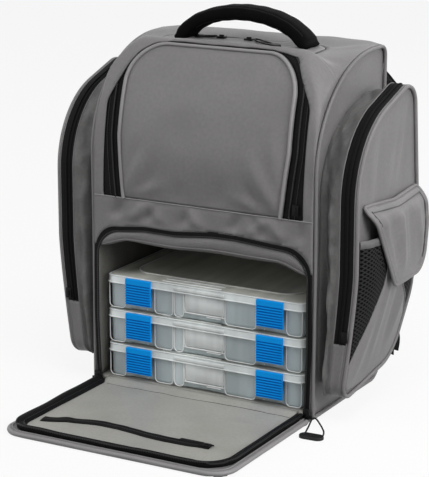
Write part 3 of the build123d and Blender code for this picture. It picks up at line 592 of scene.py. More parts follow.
band_outline = path([
    (136, POCKET_FOOT, 0), (136, 372, 30), (107, TOP, 8), (88, 427, 14), (68, 429.2, 15), (-68, 429.2, 15),
    (-88, 426.5, 20), (-104, 416, 20), (-113.5, 402, 14), (-136, 358, 30), (-136, POCKET_FOOT, 0)], 3.5)
band_outline[:, 1] = up_front(band_outline[:, 1])
# The opening's edge, from the foot on the left, over the top and down on the right.
MOUTH = np.array([(-145.5, 6, 0), (-148.6, 90, 60), (-147.6, 204.5, 32), (-112, 205.5, 40), (-78, 209.5, 60),
                  (-34, 209, 60), (14, 214, 60), (46, 214.5, 60), (92, 211, 60), (147.6, 208, 34),
                  (148.6, 90, 60), (146, 6, 0)], float)
front_outline = path([(HALF, 120, 0), (HALF, RIDGE, 0), (-HALF, RIDGE, 0), (-HALF, 120, 0),
                      (-148, 120, 0), *(MOUTH[2:-2] - (0, 4, 0)), (148, 120, 0)], 4)
# Puckers of the strip over the opening: where each starts, how far it leans, and how high it stands.
PUCKERS = [((at, 208), (at + lean, 236), 7, high) for at, lean, high in (
    (-124, 16, -5.5), (-100, 30, 5.0), (-84, 24, -4.5), (-50, -20, 3.4), (-30, 16, -3.6), (4, -22, 4.2),
    (34, 20, -4.6), (62, 26, 5.0), (84, -14, -5.0), (112, -20, 4.0), (130, 6, -3.6))]


def front_slack(across, up):
    """Dents of the strip over the opening, and light creases beside the pocket."""
    lift = 1.3 * rumple(across, up, 26, 11.0, 2.2) * ease(239, 225, up)
    lift += folds(across, up, PUCKERS) * ease(209, 218, up)
    lift += 1.0 * rumple(across, up, 30, 12.0, 3.0) * ease(245, 262, up)
    seam = np.clip(np.abs(up - 238.5) / 6, 0, 1)
    return lift * seam * ease(0, 8, HALF - np.abs(across)) + 0.8 * seam


front = draped(cut_cloth(front_outline, 3.5, band_outline), front_slack)
piece("front_cloth", front, grey_cloth, "pack", "front_panel", slot="grey_fabric", thick=2.0)

LID_FRONT, LID_BACK = run_at(-18, TOP), run_at(39, TOP)


def top_slack(across, up):
    """Soft creases that run from the handle's feet to the side seams."""
    lift = 1.2 * rumple(across, up, 34, 14.0) * ease(0, 14, HALF - np.abs(across))
    for sign in (-1, 1):
        lift += folds(across, up, (((sign * 100, RIDGE + 40), (sign * 142, RIDGE + 96), 7, 1.6),
                                   ((sign * 112, RIDGE + 6), (sign * 146, RIDGE + 30), 6, -1.4)))
    return lift


lid_hole = path(hoop(110.2, LID_FRONT, LID_BACK + 3.2, 29), 4)
top = draped(cut_cloth(path(hoop(-HALF, RIDGE, TOP_EDGE), 4), 3.5, lid_hole), top_slack)
piece("top_cloth", top, grey_cloth, "pack", "top_panel", slot="grey_fabric", thick=2.0)


# ---- Front pocket
# A padded panel with a piped edge, held on three sides by a wide black zip band and sewn in along its
# foot.  Behind it is a lining wall that leans back with the pocket.
def arch(out):
    """The pocket's outline on the shell, widened by out."""
    line = path([(109 + out, 242.3, 0), (117 + out, 318, 48), (116 + out, 428 + out, 48 + out),
                 (-116 - out, 428 + out, 48 + out), (-117 - out, 318, 48), (-109 - out, 242.3, 0)], 3.5, False)
    line[:, 1] = up_front(line[:, 1])
    return line


def web(rows, closed=False):
    """Cloth across rows of points of equal length; closed joins the ends of each row.  UVs are in metres."""
    rows = np.array(rows, float)
    if closed:
        rows = np.concatenate([rows, rows[:, :1]], 1)
    count = len(rows[0])
    bm = bmesh.new()
    bmesh.ops.create_grid(bm, x_segments=count - 1, y_segments=len(rows) - 1, size=0.5)
    along, across = run_of(rows[len(rows) // 2]), run_of(rows[:, count // 2])
    weave = bm.loops.layers.uv.new("weave")
    spots = {v: (round((v.co.x + 0.5) * (count - 1)), round((v.co.y + 0.5) * (len(rows) - 1)))
             for v in bm.verts}
    for face in bm.faces:
        for corner in face.loops:
            i, j = spots[corner.vert]
            corner[weave].uv = (along[i] * MM, across[j] * MM)
    for v, (i, j) in spots.items():
        v.co = rows[j, i] * MM
    if closed:
        bmesh.ops.remove_doubles(bm, verts=bm.verts, dist=0.03 * MM)
    return bm


# Zip tape: black polyester woven into a ribbed band, dull, with a faint shine on the ribs.  The ribs
# are drawn 1.5 mm apart so that they show.
zip_tape = oxford("woven zip tape", "#0A0A0A", "#121213", 0.0015, 0.7, 0.0002, Specular_IOR_Level=0.12)
# Nylon coil: black, moulded, with a satin shine.  A turn of the coil is 1.6 mm, drawn 3 mm so that it shows.
zip_coil = solid_colour("nylon zip coil", "#0A0A0B", 0.45, Specular_IOR_Level=0.3)
grain(zip_coil, pattern(zip_coil, "TexWave", bands_direction="DIAGONAL", Scale=200.0), 0.0004)

POCKET_FOLDS = (
    ((-108, 240), (-72, 300), 8, 3.6), ((-103, 238), (-48, 262), 7, 3.0), ((-108, 262), (-92, 330), 8, 2.2),
    ((-88, 238), (-62, 282), 7, -2.2), ((106, 240), (66, 302), 9, 3.8), ((100, 238), (40, 258), 7, 2.8),
    ((88, 238), (58, 276), 7, -2.6), ((108, 262), (90, 340), 9, 2.4), ((-34, 238), (-22, 270), 9, -1.6),
    ((18, 238), (34, 274), 10, -1.8), ((-70, 310), (60, 290), 20, 1.4), ((-40, 352), (70, 372), 22, 1.2))


def pocket_swell(across, up):
    """The panel's fullness, and the folds that run from its lower corners."""
    full = fullness(across, up, arch(0), 55)
    lift = (3.0 + 0.9 * rumple(across, up, 42, 21.0)) * full
    lift += 4.5 * full * np.sin(np.clip((up - 238) / 150, 0, 1) * pi)
    return lift + folds(across, up, POCKET_FOLDS) * np.minimum(full * 3, 1) - 0.4


panel = piece("pocket_front", draped(cut_cloth(arch(0), 3.5), pocket_swell), grey_cloth, None,
              "front_pocket_panel", slot="grey_fabric", thick=2.4)
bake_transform(panel)
bead("pocket_piping", skin(*arch(-2.6).T, 1.4), 4.4, piping_cloth, "front_pocket", "front_pocket_piping",
     slot="piping")
seam = np.linspace(-148, 148, 90)
bead("pocket_foot_seam", skin(seam, 238.2, 0.5 + 0.2 * np.sin(seam / 9)), 1.5, piping_cloth,
     "pack", slot="piping")
band = draped(cut_cloth(band_outline, 3.0, arch(0.6)), lambda x, up: -0.7 + 0.4 * rumple(x, up, 22, 9.0, 3.0))
piece("pocket_zip_band", band, zip_tape, "pack", "front_pocket_band", slot="zip_tape", thick=1.0)
line = arch(8.5)
line = line[inside(line, [band_outline])]
for side, sign in SIDES:
    half = line[line[:, 0] * sign > 0]
    for twin, off, rise, thick in (("", 0.0, 0.0, 2.6), ("_edge", 7.0, -0.4, 1.2)):
        coil = half + (sign * off, 0)
        coil = coil[inside(coil, [band_outline])]
        bead(f"pocket_zip_coil_{side}{twin}", skin(*coil.T, rise), thick, zip_coil, "pack", slot="zip_tape")

rows = []
for y, z in spaced(np.array([[-90.0, 240.8], [-77.5, 240.8], [-77.5, 300], [-22, 420.5]]), 7):
    half = 134 - 44 * ease(370, 420, z)
    columns = np.linspace(-half, half, 44)
    rows.append(xyz(columns, y + 0.8 * rumple(columns, z, 30, 31.0), z))
piece("pocket_wall_lining", web(rows), lining_cloth, "pack", "front_pocket_wall", slot="lining", thick=1.5)
cheek_outline = spaced(closed_up(np.vstack([
    [[-77.5, 241], [-90.0, 241]], arc((-33, POCKET_FOOT), (57.5, 184), 180, 128),
    [[-40.0, 381.4], [-77.5, 300]]])), 5, True)
for side, sign in SIDES:
    piece(f"{side}_pocket_cheek", lay(cut_cloth(cheek_outline, 5), lambda y, z: xyz(sign * 135.4, y, z)),
          lining_cloth, "pack", slot="lining", thick=1.5, turned=sign < 0)


# ---- Top lid and carry handle
# The lid is a flap of the top panel inside a zip.  The handle is foam wrapped in black webbing; its two
# flattened ends are bar-tacked to the lid.
HANDLE_Y = 19.0


def lid_slack(across, up):
    """The lid's own waves, and a ridge towards each foot of the handle."""
    lift = 0.5 + 0.9 * rumple(across, up, 30, 17.0)
    return lift + folds(across, up, [((sign * 84, LID_FRONT + 34), (sign * 55, LID_FRONT + 12), 6, 1.2)
                                     for sign in (-1, 1)])


lid = draped(cut_cloth(path(hoop(-107, LID_FRONT, LID_BACK, 26), 3.5), 3.5), lid_slack)
lid = piece("lid_cloth", lid, grey_cloth, None, "top_lid", slot="grey_fabric", thick=2.0)
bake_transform(lid)
tape = cut_cloth(path(hoop(-112, LID_FRONT - 2, LID_BACK + 5, 31), 3), 2.6,
                 path(hoop(-103, LID_FRONT + 1, LID_BACK - 4, 22), 3))
piece("lid_zip_tape", draped(tape, lambda x, up: -2.4), zip_tape, "pack", slot="zip_tape", thick=0.8)
line = path(hoop(108.7, LID_FRONT, LID_BACK + 1.7, 27.7), 3, False)
bead("lid_zip_coil", skin(*line.T, -0.6), 1.8, zip_coil, "pack", slot="zip_tape")

# Handle webbing: black nylon over foam, in a coarse rib that runs along the strap.
strap_cloth = oxford("handle webbing", "#030303", "#090909", 0.0016, 0.75, 0.0004, Specular_IOR_Level=0.06)


def squared(wave, power):
    """A sine drawn out towards a square wave, which gives a section flat sides and round corners."""
    return np.sign(wave) * np.abs(wave) ** power


def ringed(spots, wides, thicks):
    """Sections of a strap that follows spots in the front view: each as wide as given along Y."""
    way = unit(np.gradient(spots, axis=0))
    turn = np.linspace(0, 2 * pi, 28, endpoint=False)
    flat, high = squared(np.cos(turn), 0.5), squared(np.sin(turn), 0.7)
    return np.array([xyz(x - dz * high * thick / 2, HANDLE_Y + flat * wide / 2, z + dx * high * thick / 2)
                     for (x, z), (dx, dz), wide, thick in zip(spots, way, wides, thicks)])


turn = np.radians(np.linspace(160, 20, 61))
crest = np.stack([87.0 * np.cos(turn), 415 + 45.6 * np.sin(turn)], 1)
ends = np.array([[-89.5, 425.6], [-87.2, 427.2], [-84.6, 429.6]])
crest = spaced(np.vstack([ends, crest[2:-2], (ends * (-1, 1))[::-1]]), 3.5)
share = np.abs(np.linspace(-1, 1, len(crest)))
thicks = 18.5 - 10 * ease(0.9, 1.0, share) + 0.5 * np.cos(share * 30)
rings = ringed(crest, 31.0 + 3.5 * ease(0.7, 1.0, share), thicks)
handle = web(rings, closed=True)
bmesh.ops.holes_fill(handle, edges=[e for e in handle.edges if e.is_boundary])
handle = piece("handle_strap", handle, strap_cloth, "handle", "carry_handle", slot="webbing")
# A narrow binding is folded over each long edge of the foam, and stops short of the handle's feet.
for name, corner, trim in (("front_upper", 11, 4), ("front_lower", 17, 9),
                           ("back_upper", 3, 4), ("back_lower", 25, 9)):
    line = rings[trim:-trim, corner] * 0.94 + rings[trim:-trim].mean(1) * 0.06
    bead(f"handle_binding_{name}", line, 2.4, zip_tape, "handle", slot="webbing")


# ---- Side pockets
# Each side carries a boxed pocket: a soft gusset sewn to the side panel, a black zip band round its
# front and top, and an outer panel with a piped edge that opens like a door.
GUSSET_IN, GUSSET_OUT = 149.6, 181.5     # from the bag's middle to the gusset's two edges
PANEL_OUT = 200.2                        # and to the outer panel
pocket_edge = path([(47, 48, 50), (80, 128, 60), (83, 240, 140), (67, 396, 28), (-90, 345, 108),
                    (-90, 26, 22)], 4)[::-1]


def nearest_on_edge(y, z):
    """Which point of the pocket's edge is nearest to a place in the side view."""
    return int(np.argmin(np.hypot(*(pocket_edge - (y, z)).T)))


# The edge starts 100 up in front and goes over the top; its zip band ends near the upper rear corner.
pocket_edge = np.roll(pocket_edge, -nearest_on_edge(-90, 100), 0)
BAND_END = nearest_on_edge(54, 392)
# The gussets are the same oxford, unlined and limp, so they lie in folds; their cloth is coloured darker than
# the body's as painted shade for those folds and the pocket's shadow.
gusset_painted_shade_cloth = oxford("limp oxford with painted shade", "#636262", "#706F6E", 0.0013, 0.62, 0.0003, Sheen_Weight=0.1)
# On the pockets the piping is wrapped in the bag's own cloth, a little paler where it is stretched.
side_piping_cloth = oxford("stretched oxford piping", "#7C7A7A", "#868484", 0.0013, 0.5, 0.0002)
PANEL_FOLDS = (((-62, 90), (-50, 330), 9, 2.2), ((-20, 250), (20, 372), 12, 2.2),
               ((30, 270), (58, 380), 9, -2.6), ((-66, 170), (-40, 60), 10, 1.6),
               ((20, 170), (62, 260), 11, 1.8), ((-36, 268), (-24, 350), 8, -2.0),
               ((6, 266), (34, 340), 8, 2.0))


def drawn_in(line, amount):
    """A closed line in the side view, moved inwards by an amount, in millimetres, that may vary along it."""
    way = unit(np.roll(line, -1, 0) - np.roll(line, 1, 0))
    turn = 1 if np.sum(line[:, 0] * np.roll(line[:, 1], -1) - np.roll(line[:, 0], -1) * line[:, 1]) > 0 else -1
    return line + np.stack([-way[:, 1], way[:, 0]], 1) * turn * np.reshape(amount, (-1, 1))


def tuck(z):
    """How far the limp foot of a side pocket is drawn in towards the bag."""
    return 17 * np.clip((185 - z) / 155, 0, 1) ** 1.3


def at_side(sign, out, line):
    """A line in the side view, as points at a distance out from the bag's middle."""
    return xyz(sign * (out - tuck(line[:, 1]) * np.clip((out - 150) / 40, 0, 1)), *line.T)


def round_pocket(rows, sign, start=0, end=None):
    """A strip of cloth round a side pocket, from one place on its edge to another, facing outwards."""
    rows = np.array(rows)
    rows = np.concatenate([rows, rows[:, :1]], 1)[:, start:end]
    return web(rows[:, ::-1] if sign > 0 else rows)


def dip(share, middle, width):
    """1 at the middle of a soft hollow across the gusset, falling away over its width."""
    return np.exp(-((share - middle) / width) ** 2)


edge_y, edge_z = pocket_edge.T
in_front = ease(-60, -84, edge_y) * (6 * ease(330, 240, edge_z) + 14 * ease(230, 110, edge_z))
for side, sign in SIDES:
    rows = []
    for share in np.arange(17) / 16:
        firm = sin(pi * share) ** 0.7
        slack = rumple(edge_y + 60 * share, edge_z, 24, 40.0 + sign, 1.5)
        crush = rumple(edge_y - 50 * share, edge_z + 24 * share, 12, 47.0 + sign, 1.2)
        sag = 4.5 * (0.6 + rumple(edge_y, edge_z, 38, 43.0 + sign))
        gully = dip(share, 0.26, 0.15) - 0.35 * dip(share, 0.62, 0.14)
        line = drawn_in(pocket_edge, 12 * (1 - share) ** 1.2 + (sag + 4.5 * slack + 2.6 * crush) * firm
                        + gully * in_front)
        rows.append(at_side(sign, GUSSET_IN + (GUSSET_OUT - GUSSET_IN) * share + 2.2 * slack * firm, line))
    gusset = round_pocket(rows, sign)
    bmesh.ops.remove_doubles(gusset, verts=gusset.verts, dist=0.05 * MM)
    piece(f"{side}_gusset_painted_shade_cloth", gusset, gusset_painted_shade_cloth, "pack", f"{side}_side_gusset", slot="grey_fabric",
          thick=1.6)
    rows = [at_side(sign, GUSSET_OUT + out, drawn_in(pocket_edge, sink))
            for out, sink in ((0, 0.0), (4, 0.8), (8.5, 1.0), (13, 0.8), (17.5, 0.2))]
    band = piece(f"{side}_zip_band_cloth", round_pocket(rows, sign, 0, BAND_END + 1), zip_tape, "pack",
                 slot="zip_tape", thick=1.4)
    piece(f"{side}_rear_band_cloth", round_pocket(rows, sign, BAND_END), grey_cloth, "pack", slot="grey_fabric",
          thick=1.4)
    line = drawn_in(pocket_edge, 0.1)[:BAND_END + 1]
    for name, out, thick, finish, slot in (("coil", 10, 2.0, zip_tape, "zip_tape"),
                                           ("trim", 0.1, 1.2, grey_cloth, "piping"),
                                           ("lip", 5, 0.9, zip_tape, "zip_tape")):
        bead(f"{side}_band_{name}", at_side(sign, GUSSET_OUT + out, line), thick, finish, "pack", slot=slot)
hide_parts("side_zip_bands")

for side, sign in SIDES:
    def swell(y, z):
        """The outer panel's fullness, its waves and its folds."""
        full = fullness(y, z, pocket_edge, 42)
        out = 2.3 + 1.3 * rumple(y, z, 40, 51.0 + sign, 2.5) + folds(y, z, PANEL_FOLDS)
        return xyz(sign * (PANEL_OUT - tuck(z) + full * out), y, z)
    panel = piece(f"{side}_pocket_cloth", lay(cut_cloth(pocket_edge, 4), swell), grey_cloth, None,
                  f"{side}_side_pocket_panel", slot="grey_fabric", thick=1.0, turned=sign < 0)
    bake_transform(panel)
    bead(f"{side}_pocket_piping", at_side(sign, PANEL_OUT + 2.4, drawn_in(pocket_edge, 2.4)), 5.0,
         side_piping_cloth, f"{side}_side_pocket", slot="piping", closed=True)


# ---- Bottle pockets and their flaps
# On each side pocket sits a bottle pocket with a cloth middle, black net at both sides and an elastic
# top edge.  A flap with a bound edge hangs over it from a seam.
pouch_outline = drawn_in(pocket_edge, 6.5)
pouch_outline[:, 1] = np.clip(pouch_outline[:, 1], 40, 224)
pouch_outline = spaced(closed_up(pouch_outline), 4, True)
# The cloth middle's rear edge, from the elastic to the foot.
REAR_SEAM = ((13, 170), (26, 150), (42, 124))
cloth_part = path([(*spot, 0) for spot in (
    (-87, 40), (-87, 66), (-34, 163), (-26, 226), (12, 226), *REAR_SEAM, (62, 100), (80, 84), (80, 36),
    (-87, 36))], 4)
flap_outline = path([(-73, 263, 3), (-73, 256, 6), (-23, 160, 9), (66, 162, 34), (79, 214, 44), (72, 261, 6),
                     (0, 258, 60)], 3.2)
POUCH_FOLDS = (((-12, 200), (-30, 60), 7, 2.2), ((24, 200), (4, 70), 8, -2.0), ((-40, 120), (-66, 50), 7, 1.6),
               ((40, 150), (20, 80), 7, 1.8))
FLAP_FOLDS = (((-52, 256), (-34, 172), 7, 3.2), ((-30, 258), (-12, 168), 8, -2.2),
              ((-10, 258), (2, 176), 7, 4.2), ((18, 256), (26, 180), 8, -2.0), ((42, 252), (58, 180), 9, 3.0))
FLAP_TOP = 261.5

# Pocket net: black polyester knitted in a small diamond mesh, drawn 5 mm to a diamond so that it shows.
net = solid_colour("knitted net", "#141415", 0.7, Specular_IOR_Level=0.04)
ways = [pattern(net, "Mapping", "UV", Rotation=(0, 0, radians(lean))) for lean in (57, -57)]
strands = [node(net, "TexWave", {"Vector": way.outputs[0]}, bands_direction="X", Scale=stripes(0.0042))
           for way in ways]
knots = node(net, "Math", {0: strands[0].outputs["Fac"], 1: strands[1].outputs["Fac"]}, operation="MAXIMUM")
two_tone(net, knots, paint("#050505"), paint("#363637"), From_Min=0.45, From_Max=0.95)
grain(net, knots, 0.0006)


def pouch_out(y, z):
    """How far out the bottle pocket stands: flat at its foot and sides, 14 mm at its mouth."""
    full = fullness(y, np.minimum(z, 190), pouch_outline, 30)
    return PANEL_OUT + 3 - tuck(z) + full * (13.0 * ease(30, 215, z) + 0.8 + folds(y, z, POUCH_FOLDS))


def flap_out(y, z):
    """The flap stands off its seam in a rounded shoulder, then hangs over the bottle pocket; its bound
    edge is padded by the folded binding, behind a sunk seam."""
    drop = FLAP_TOP - z
    crown = 0.80 + 0.20 * np.sin(np.clip((y + 73) / 147, 0, 1) * pi)
    out = PANEL_OUT + 4.4 + 17.0 * crown * np.sin(np.clip(drop / 24, 0, 1) * pi / 2) + 1.5 * ease(20, 99, drop)
    edge = from_edge(y, z, flap_outline)
    out += 1.5 * np.sin(np.clip(edge / 7.5, 0, 1) * pi) - 1.2 * np.exp(-((edge - 8) / 1.8) ** 2)
    return out + ease(6, 20, edge) * (folds(y, z, FLAP_FOLDS) + 1.1 * rumple(y, z, 22, 61.0))


for side, sign in SIDES:
    def pouch(y, z):
        """The bottle pocket, pressed flat where the flap lies on it."""
        hung = np.where(z > 158, flap_out(y, np.minimum(z, 252)) - 5.5, 300)
        return xyz(sign * np.minimum(pouch_out(y, z), hung), y, z)

    def hang(y, z):
        """The flap."""
        return xyz(sign * flap_out(y, z), y, z)

    body, flap_body = f"{side}_side_pocket", f"{side}_bottle_flap"
    whole = cut_cloth(pouch_outline, 3.5)
    for face, is_cloth in zip(whole.faces, inside(flat_middles(whole), [cloth_part])):
        face.material_index = 0 if is_cloth else 1
    piece(f"{side}_bottle_pocket_cloth", lay(whole, pouch), [grey_cloth, net], body, f"{side}_bottle_pocket",
          slot="grey_fabric", thick=0.9, turned=sign < 0)
    for end, seam in (("front", ((-84, 72), (-34, 163), (-26, 224))),
                      ("rear", ((12, 224), *REAR_SEAM, (60, 103)))):
        line = spaced(np.array(seam, float), 4)
        bead(f"{side}_pouch_seam_{end}", pouch(*line.T) + (sign * 0.2, 0, 0), 1.8, side_piping_cloth, body,
             slot="piping")
    elastic = np.sort(pouch_outline[pouch_outline[:, 1] > 223.5, 0])
    rows = [pouch(elastic, level) + (sign * lift, 0, 0)
            for level, lift in ((215, -1.2), (216, 0.8), (220, 1.2), (224, 0.8), (225, -1.2))]
    # The elastic takes the gussets' darker cloth, and with it the same painted shade.
    piece(f"{side}_pouch_elastic", web(np.array(rows)[:, ::sign]), gusset_painted_shade_cloth, body, slot="piping")

    piece(f"{side}_flap_cloth", lay(cut_cloth(flap_outline, 3.5), hang), grey_cloth, flap_body,
          f"{side}_bottle_flap", slot="grey_fabric", thick=1.6, turned=sign < 0)
    bead(f"{side}_flap_binding", hang(*drawn_in(flap_outline, 0.2).T) - (sign * 0.9, 0, 0), 4.6,
         side_piping_cloth, flap_body, slot="piping", closed=True)
    # The seam beside the binding shows along the flap's top and rear only.
    seam = drawn_in(flap_outline, 7.0)
    kept = (seam[:, 1] > 236) & (seam[:, 0] > -66) | (seam[:, 0] > 58)
    start = int(np.argmax(~kept & np.roll(kept, 1)))
    seam = np.roll(seam, -start, 0)[np.roll(kept, -start)]
    bead(f"{side}_flap_seam", hang(*seam.T) + (sign * 0.7, 0, 0), 1.4, dark_thread, flap_body,
         slot="grey_fabric")


# ---- Door opening
# Half of a heavy zip runs round the opening, and inside its top hangs a rolled storm strip.  The box
# compartment is lined, and a stiffened shelf closes it above.
def mouth(out):
    """The opening's edge moved in, in the front view."""
    moved = MOUTH - (0, out, 0)
    moved[:, 0] -= np.sign(MOUTH[:, 0]) * np.where(np.abs(MOUTH[:, 0]) > 140, out * 0.8, 0)
    moved[[0, -1], 1] = 5
    return evenly(path(list(moved), 3, False), 220)


def tape_depth(z):
    """How far forward the tape lies: a little deeper above, where the strip over it bulges."""
    return -95.0 + 1.3 * ease(150, 200, z)


rows = []
for share in (0, 0.3, 0.7, 1):
    across, up = (mouth(5.8) + (mouth(-1.2) - mouth(5.8)) * share).T
    rows.append(xyz(across, tape_depth(up) + 0.4 * share, up))
piece("opening_tape", web(rows), zip_tape, "pack", "opening_zip_tape", slot="zip_tape", thick=1.2)
across, up = mouth(5.4).T
bead("opening_coil", xyz(across, tape_depth(up) - 0.2, up), 2.6, zip_coil, "pack", slot="zip_tape")

across = np.linspace(-139, 139, 90)
edge = 2.5 + np.interp(across, *mouth(5.8)[60:160].T)
hem = 187.5 + 0.8 * np.sin(across / 31) + 0.6 * np.sin(across / 17 + 1) - 9 * ease(100, 139, np.abs(across))
rolled = []
for share in np.linspace(0, 1, 12):
    out = -91.2 - 3.0 * np.sin(share * pi * 1.12) ** 0.8 if share < 0.89 else -90.2
    out = out - 0.5 * np.sin(across / 19 + 2.5 * share) * np.sin(pi * share)
    rolled.append(xyz(across, out, edge - share * (edge - hem)))
strip = piece("storm_flap", web(rolled[::-1]), grey_cloth, "pack", "storm_strip", slot="lining", thick=1.2)
bead("storm_flap_hem", rolled[9] - (0, 0.4, 0), 1.8, grey_cloth, "pack", slot="lining")

shelf = lay(cut_cloth(path(oblong(-145.5, -89, 145.5, 89.6, 3, 3), 9), 9),
            lambda x, y: xyz(x, y, 208.6 + 0.4 * rumple(x, y, 60, 71)))
piece("shelf_lining", shelf, lining_cloth, "pack", "compartment_shelf", slot="stiffener", thick=2.6)
WALL_FOLDS = (((-84, 30), (-60, 190), 9, 3.0), ((-50, 20), (-20, 120), 10, 2.4))
# The side and back walls of the compartment wear the darker lining: its darker grey is painted shade.
for side, sign in SIDES:
    def wall_fold(y, z):
        """The loose lining of a side wall, flat at its seams."""
        loose = ease(0, 12, np.minimum(np.minimum(z - 11, 205 - z), 92 + y))
        out = 1.4 + 1.8 * rumple(y, z, 30, 73.0 + sign, 1.4) + folds(y, z, WALL_FOLDS)
        return xyz(sign * (145.2 - loose * out), y, z)
    lining_wall = cut_cloth(path([(-92, 11, 0), (-92, 205, 0), (89, 205, 0), (89, 11, 0)], 6), 6)
    piece(f"{side}_lining_wall", lay(lining_wall, wall_fold), painted_shade_lining, "pack", slot="lining", thick=1.0,
          turned=sign > 0)
back_lining = lay(cut_cloth(path(oblong(-145, 11, 145, 205), 9), 9),
                  lambda x, z: xyz(x, 88.6 - 0.8 * rumple(x, z, 40, 77.0), z))
piece("back_lining_wall", back_lining, painted_shade_lining, "pack", slot="lining", thick=1.0)


# ---- Door
# The door is foam board between outer cloth and lining, bound round its edge.  Its half of the zip
# stands up along three sides, and a zipped pocket with a wavy seam crosses the lining.
DOOR_HALF, DOOR_FRONT, DOOR_REAR = 150.5, -304.0, -101.0


def door_line(inset, round_by=(28, 28)):
    """The door's three free sides in plan, pulled in by inset."""
    half, front = DOOR_HALF - inset, DOOR_FRONT + inset
    left, right = [max(radius - inset, 6) for radius in round_by]
    return path([(-half, DOOR_REAR, 0), (-half, front, left), (half, front, right), (half, DOOR_REAR, 0)],
                4, False)


def door_top(x, y):
    """The door's upper cloth: a raised rim that rounds off at its edge."""
    edge = from_edge(x, y, door_line(0))
    edge = np.where(y > -108, np.minimum(edge, DOOR_HALF - np.abs(x)), edge)
    return xyz(x, y, 5.2 + 1.6 * ease(8.5, 4, edge) - 2.6 * ease(3, 0, edge))


door = piece("door_board", lay(cut_cloth(door_line(0.4), 5), door_top), grey_cloth, None, "door_panel",
             slot="grey_fabric", thick=4.6)
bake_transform(door)
x, y = door_line(2.6).T
bead("door_binding", xyz(x, y, 3.2 + 0.3 * np.sin(x / 17)), 5.6, piping_cloth, "door", slot="grey_fabric")
bead("door_rim_seam", xyz(*door_line(6.2).T, 6.4), 1.2, piping_cloth, "door", slot="grey_fabric")

# The zip tape stands up from the rim, folds over and comes down inside: (inset, height, waviness).
RAILS = ((8.6, 4.8, 0.3), (8.0, 10.6, 0.8), (9.2, 13.0, 0.8), (12.5, 12.4, 0.8), (16.5, 10.2, 0.8),
         (20.5, 6.6, 0.3))
RAIL_POINTS = 170
wave = 0.6 * np.sin(np.linspace(0, 23, RAIL_POINTS)) + 0.4 * np.sin(np.linspace(1, 57, RAIL_POINTS))


def rail(inset, height, waviness, top):
    """A line of the door's tape, pressed down to top at the corners, where the lowest box slides over it."""
    line = xyz(*evenly(door_line(inset, round_by=(36, 48)), RAIL_POINTS).T, height + wave * waviness)
    pressed = ease(-1, 0.6, np.minimum(137 - np.abs(line[:, 0]), line[:, 1] + 290.5))
    return line + np.outer(pressed * np.minimum(top - line[:, 2], 0), (0, 0, 1))


piece("door_tape", web([rail(*one, 10.3) for one in RAILS]), zip_tape, "door", "door_zip_tape",
      slot="zip_tape", thick=1.0)
bead("door_coil", rail(8.0, 11.8, 0.8, 9.7), 2.2, zip_coil, "door", slot="zip_tape")
bead("door_tape_edge", rail(16.5, 10.8, 0.8, 10.1), 1.0, zip_coil, "door", slot="zip_tape")

# The pocket's zip runs across the lining in a wave.
ZIP_WAVE = np.array([(-124, -255), (-110, -250), (-85, -240), (-57, -232), (-30, -234), (3, -238), (30, -240.5),
                     (58, -241), (80, -239.5), (97, -238)], float)
zip_x = np.linspace(-122, 97, 74)
zip_y = np.convolve(np.pad(np.interp(zip_x, *ZIP_WAVE.T), 6, "edge"), np.ones(13) / 13, "valid")
LINING_FOLDS = (((-110, -140), (-20, -170), 14, 1.0), ((-118, -210), (-80, -262), 8, 1.2),
                ((20, -180), (110, -150), 16, 0.9), ((96, -240), (124, -270), 6, 1.6),
                ((60, -205), (118, -225), 10, 0.9), ((-60, -190), (30, -215), 13, -0.7))


def lining_height(x, y):
    """The lining sags between its edges and rises over the sill into the compartment."""
    sill = ease(-107, -96, y)
    loose = ease(0, 26, np.minimum(131.5 - np.abs(x), y + 285))
    waves = 0.9 * rumple(x, y, 46, 81.0) + 0.5 * rumple(x, y, 18, 82.0) + folds(x, y, LINING_FOLDS)
    off_zip = np.abs(y - np.interp(x, zip_x, zip_y))
    level = 6.7 + loose * waves - 0.6 * np.exp(-(off_zip / 6) ** 2) * ease(131, 118, np.abs(x))
    return np.maximum(level * (1 - sill) + 10.9 * sill, 6.2)


def on_lining(x, y, up):
    """Points over the lining, higher by up."""
    return xyz(x, y, lining_height(x, y) + up)


lining = lay(cut_cloth(path(hoop(132.6, -90, -286, 12), 4), 4), lambda x, y: on_lining(x, y, 0))
lining = piece("door_lining_cloth", lining, lining_cloth, None, "door_lining", slot="lining", thick=0.8)
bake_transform(lining)
seam = np.linspace(-126, 128, 80)
bead("lining_seam", on_lining(seam, -106.5 + 1.2 * np.sin(seam / 40), -0.1), 1.1, dark_thread, "door",
     slot="lining")
rows = [on_lining(zip_x, zip_y + off, up) for off, up in ((-7.0, -0.3), (-5.6, 0.8), (-2.0, 1.7), (1.8, 2.3),
                                                          (4.8, 2.4), (6.4, 1.8), (7.0, -0.3))]
piece("door_pocket_tape", web(rows), zip_tape, "door", "door_pocket_zip", slot="zip_tape", thick=0.6)
bead("door_pocket_coil", on_lining(zip_x, zip_y, 1.7) - (0, 0.6, 0), 1.8, zip_coil, "door", slot="zip_tape")


# ---- Zip sliders
# Every zip has a cast slider with a wedge, a bridge and a pull: zinc alloy under black paint, worn a
# little at its edges.

# Black paint baked on cast zinc: satin and near black, greyer where it is worn.
slider_paint = solid_colour("black painted zinc", "#0B0B0C", 0.5, Specular_IOR_Level=0.14)
wear = pattern(slider_paint, "TexNoise", Scale=350.0, Detail=3.0)
two_tone(slider_paint, wear, paint("#0B0B0C"), paint("#2C2C2E"), From_Min=0.55, From_Max=0.75, To_Max=0.35)
grain(slider_paint, wear, 0.0001, 0.4)


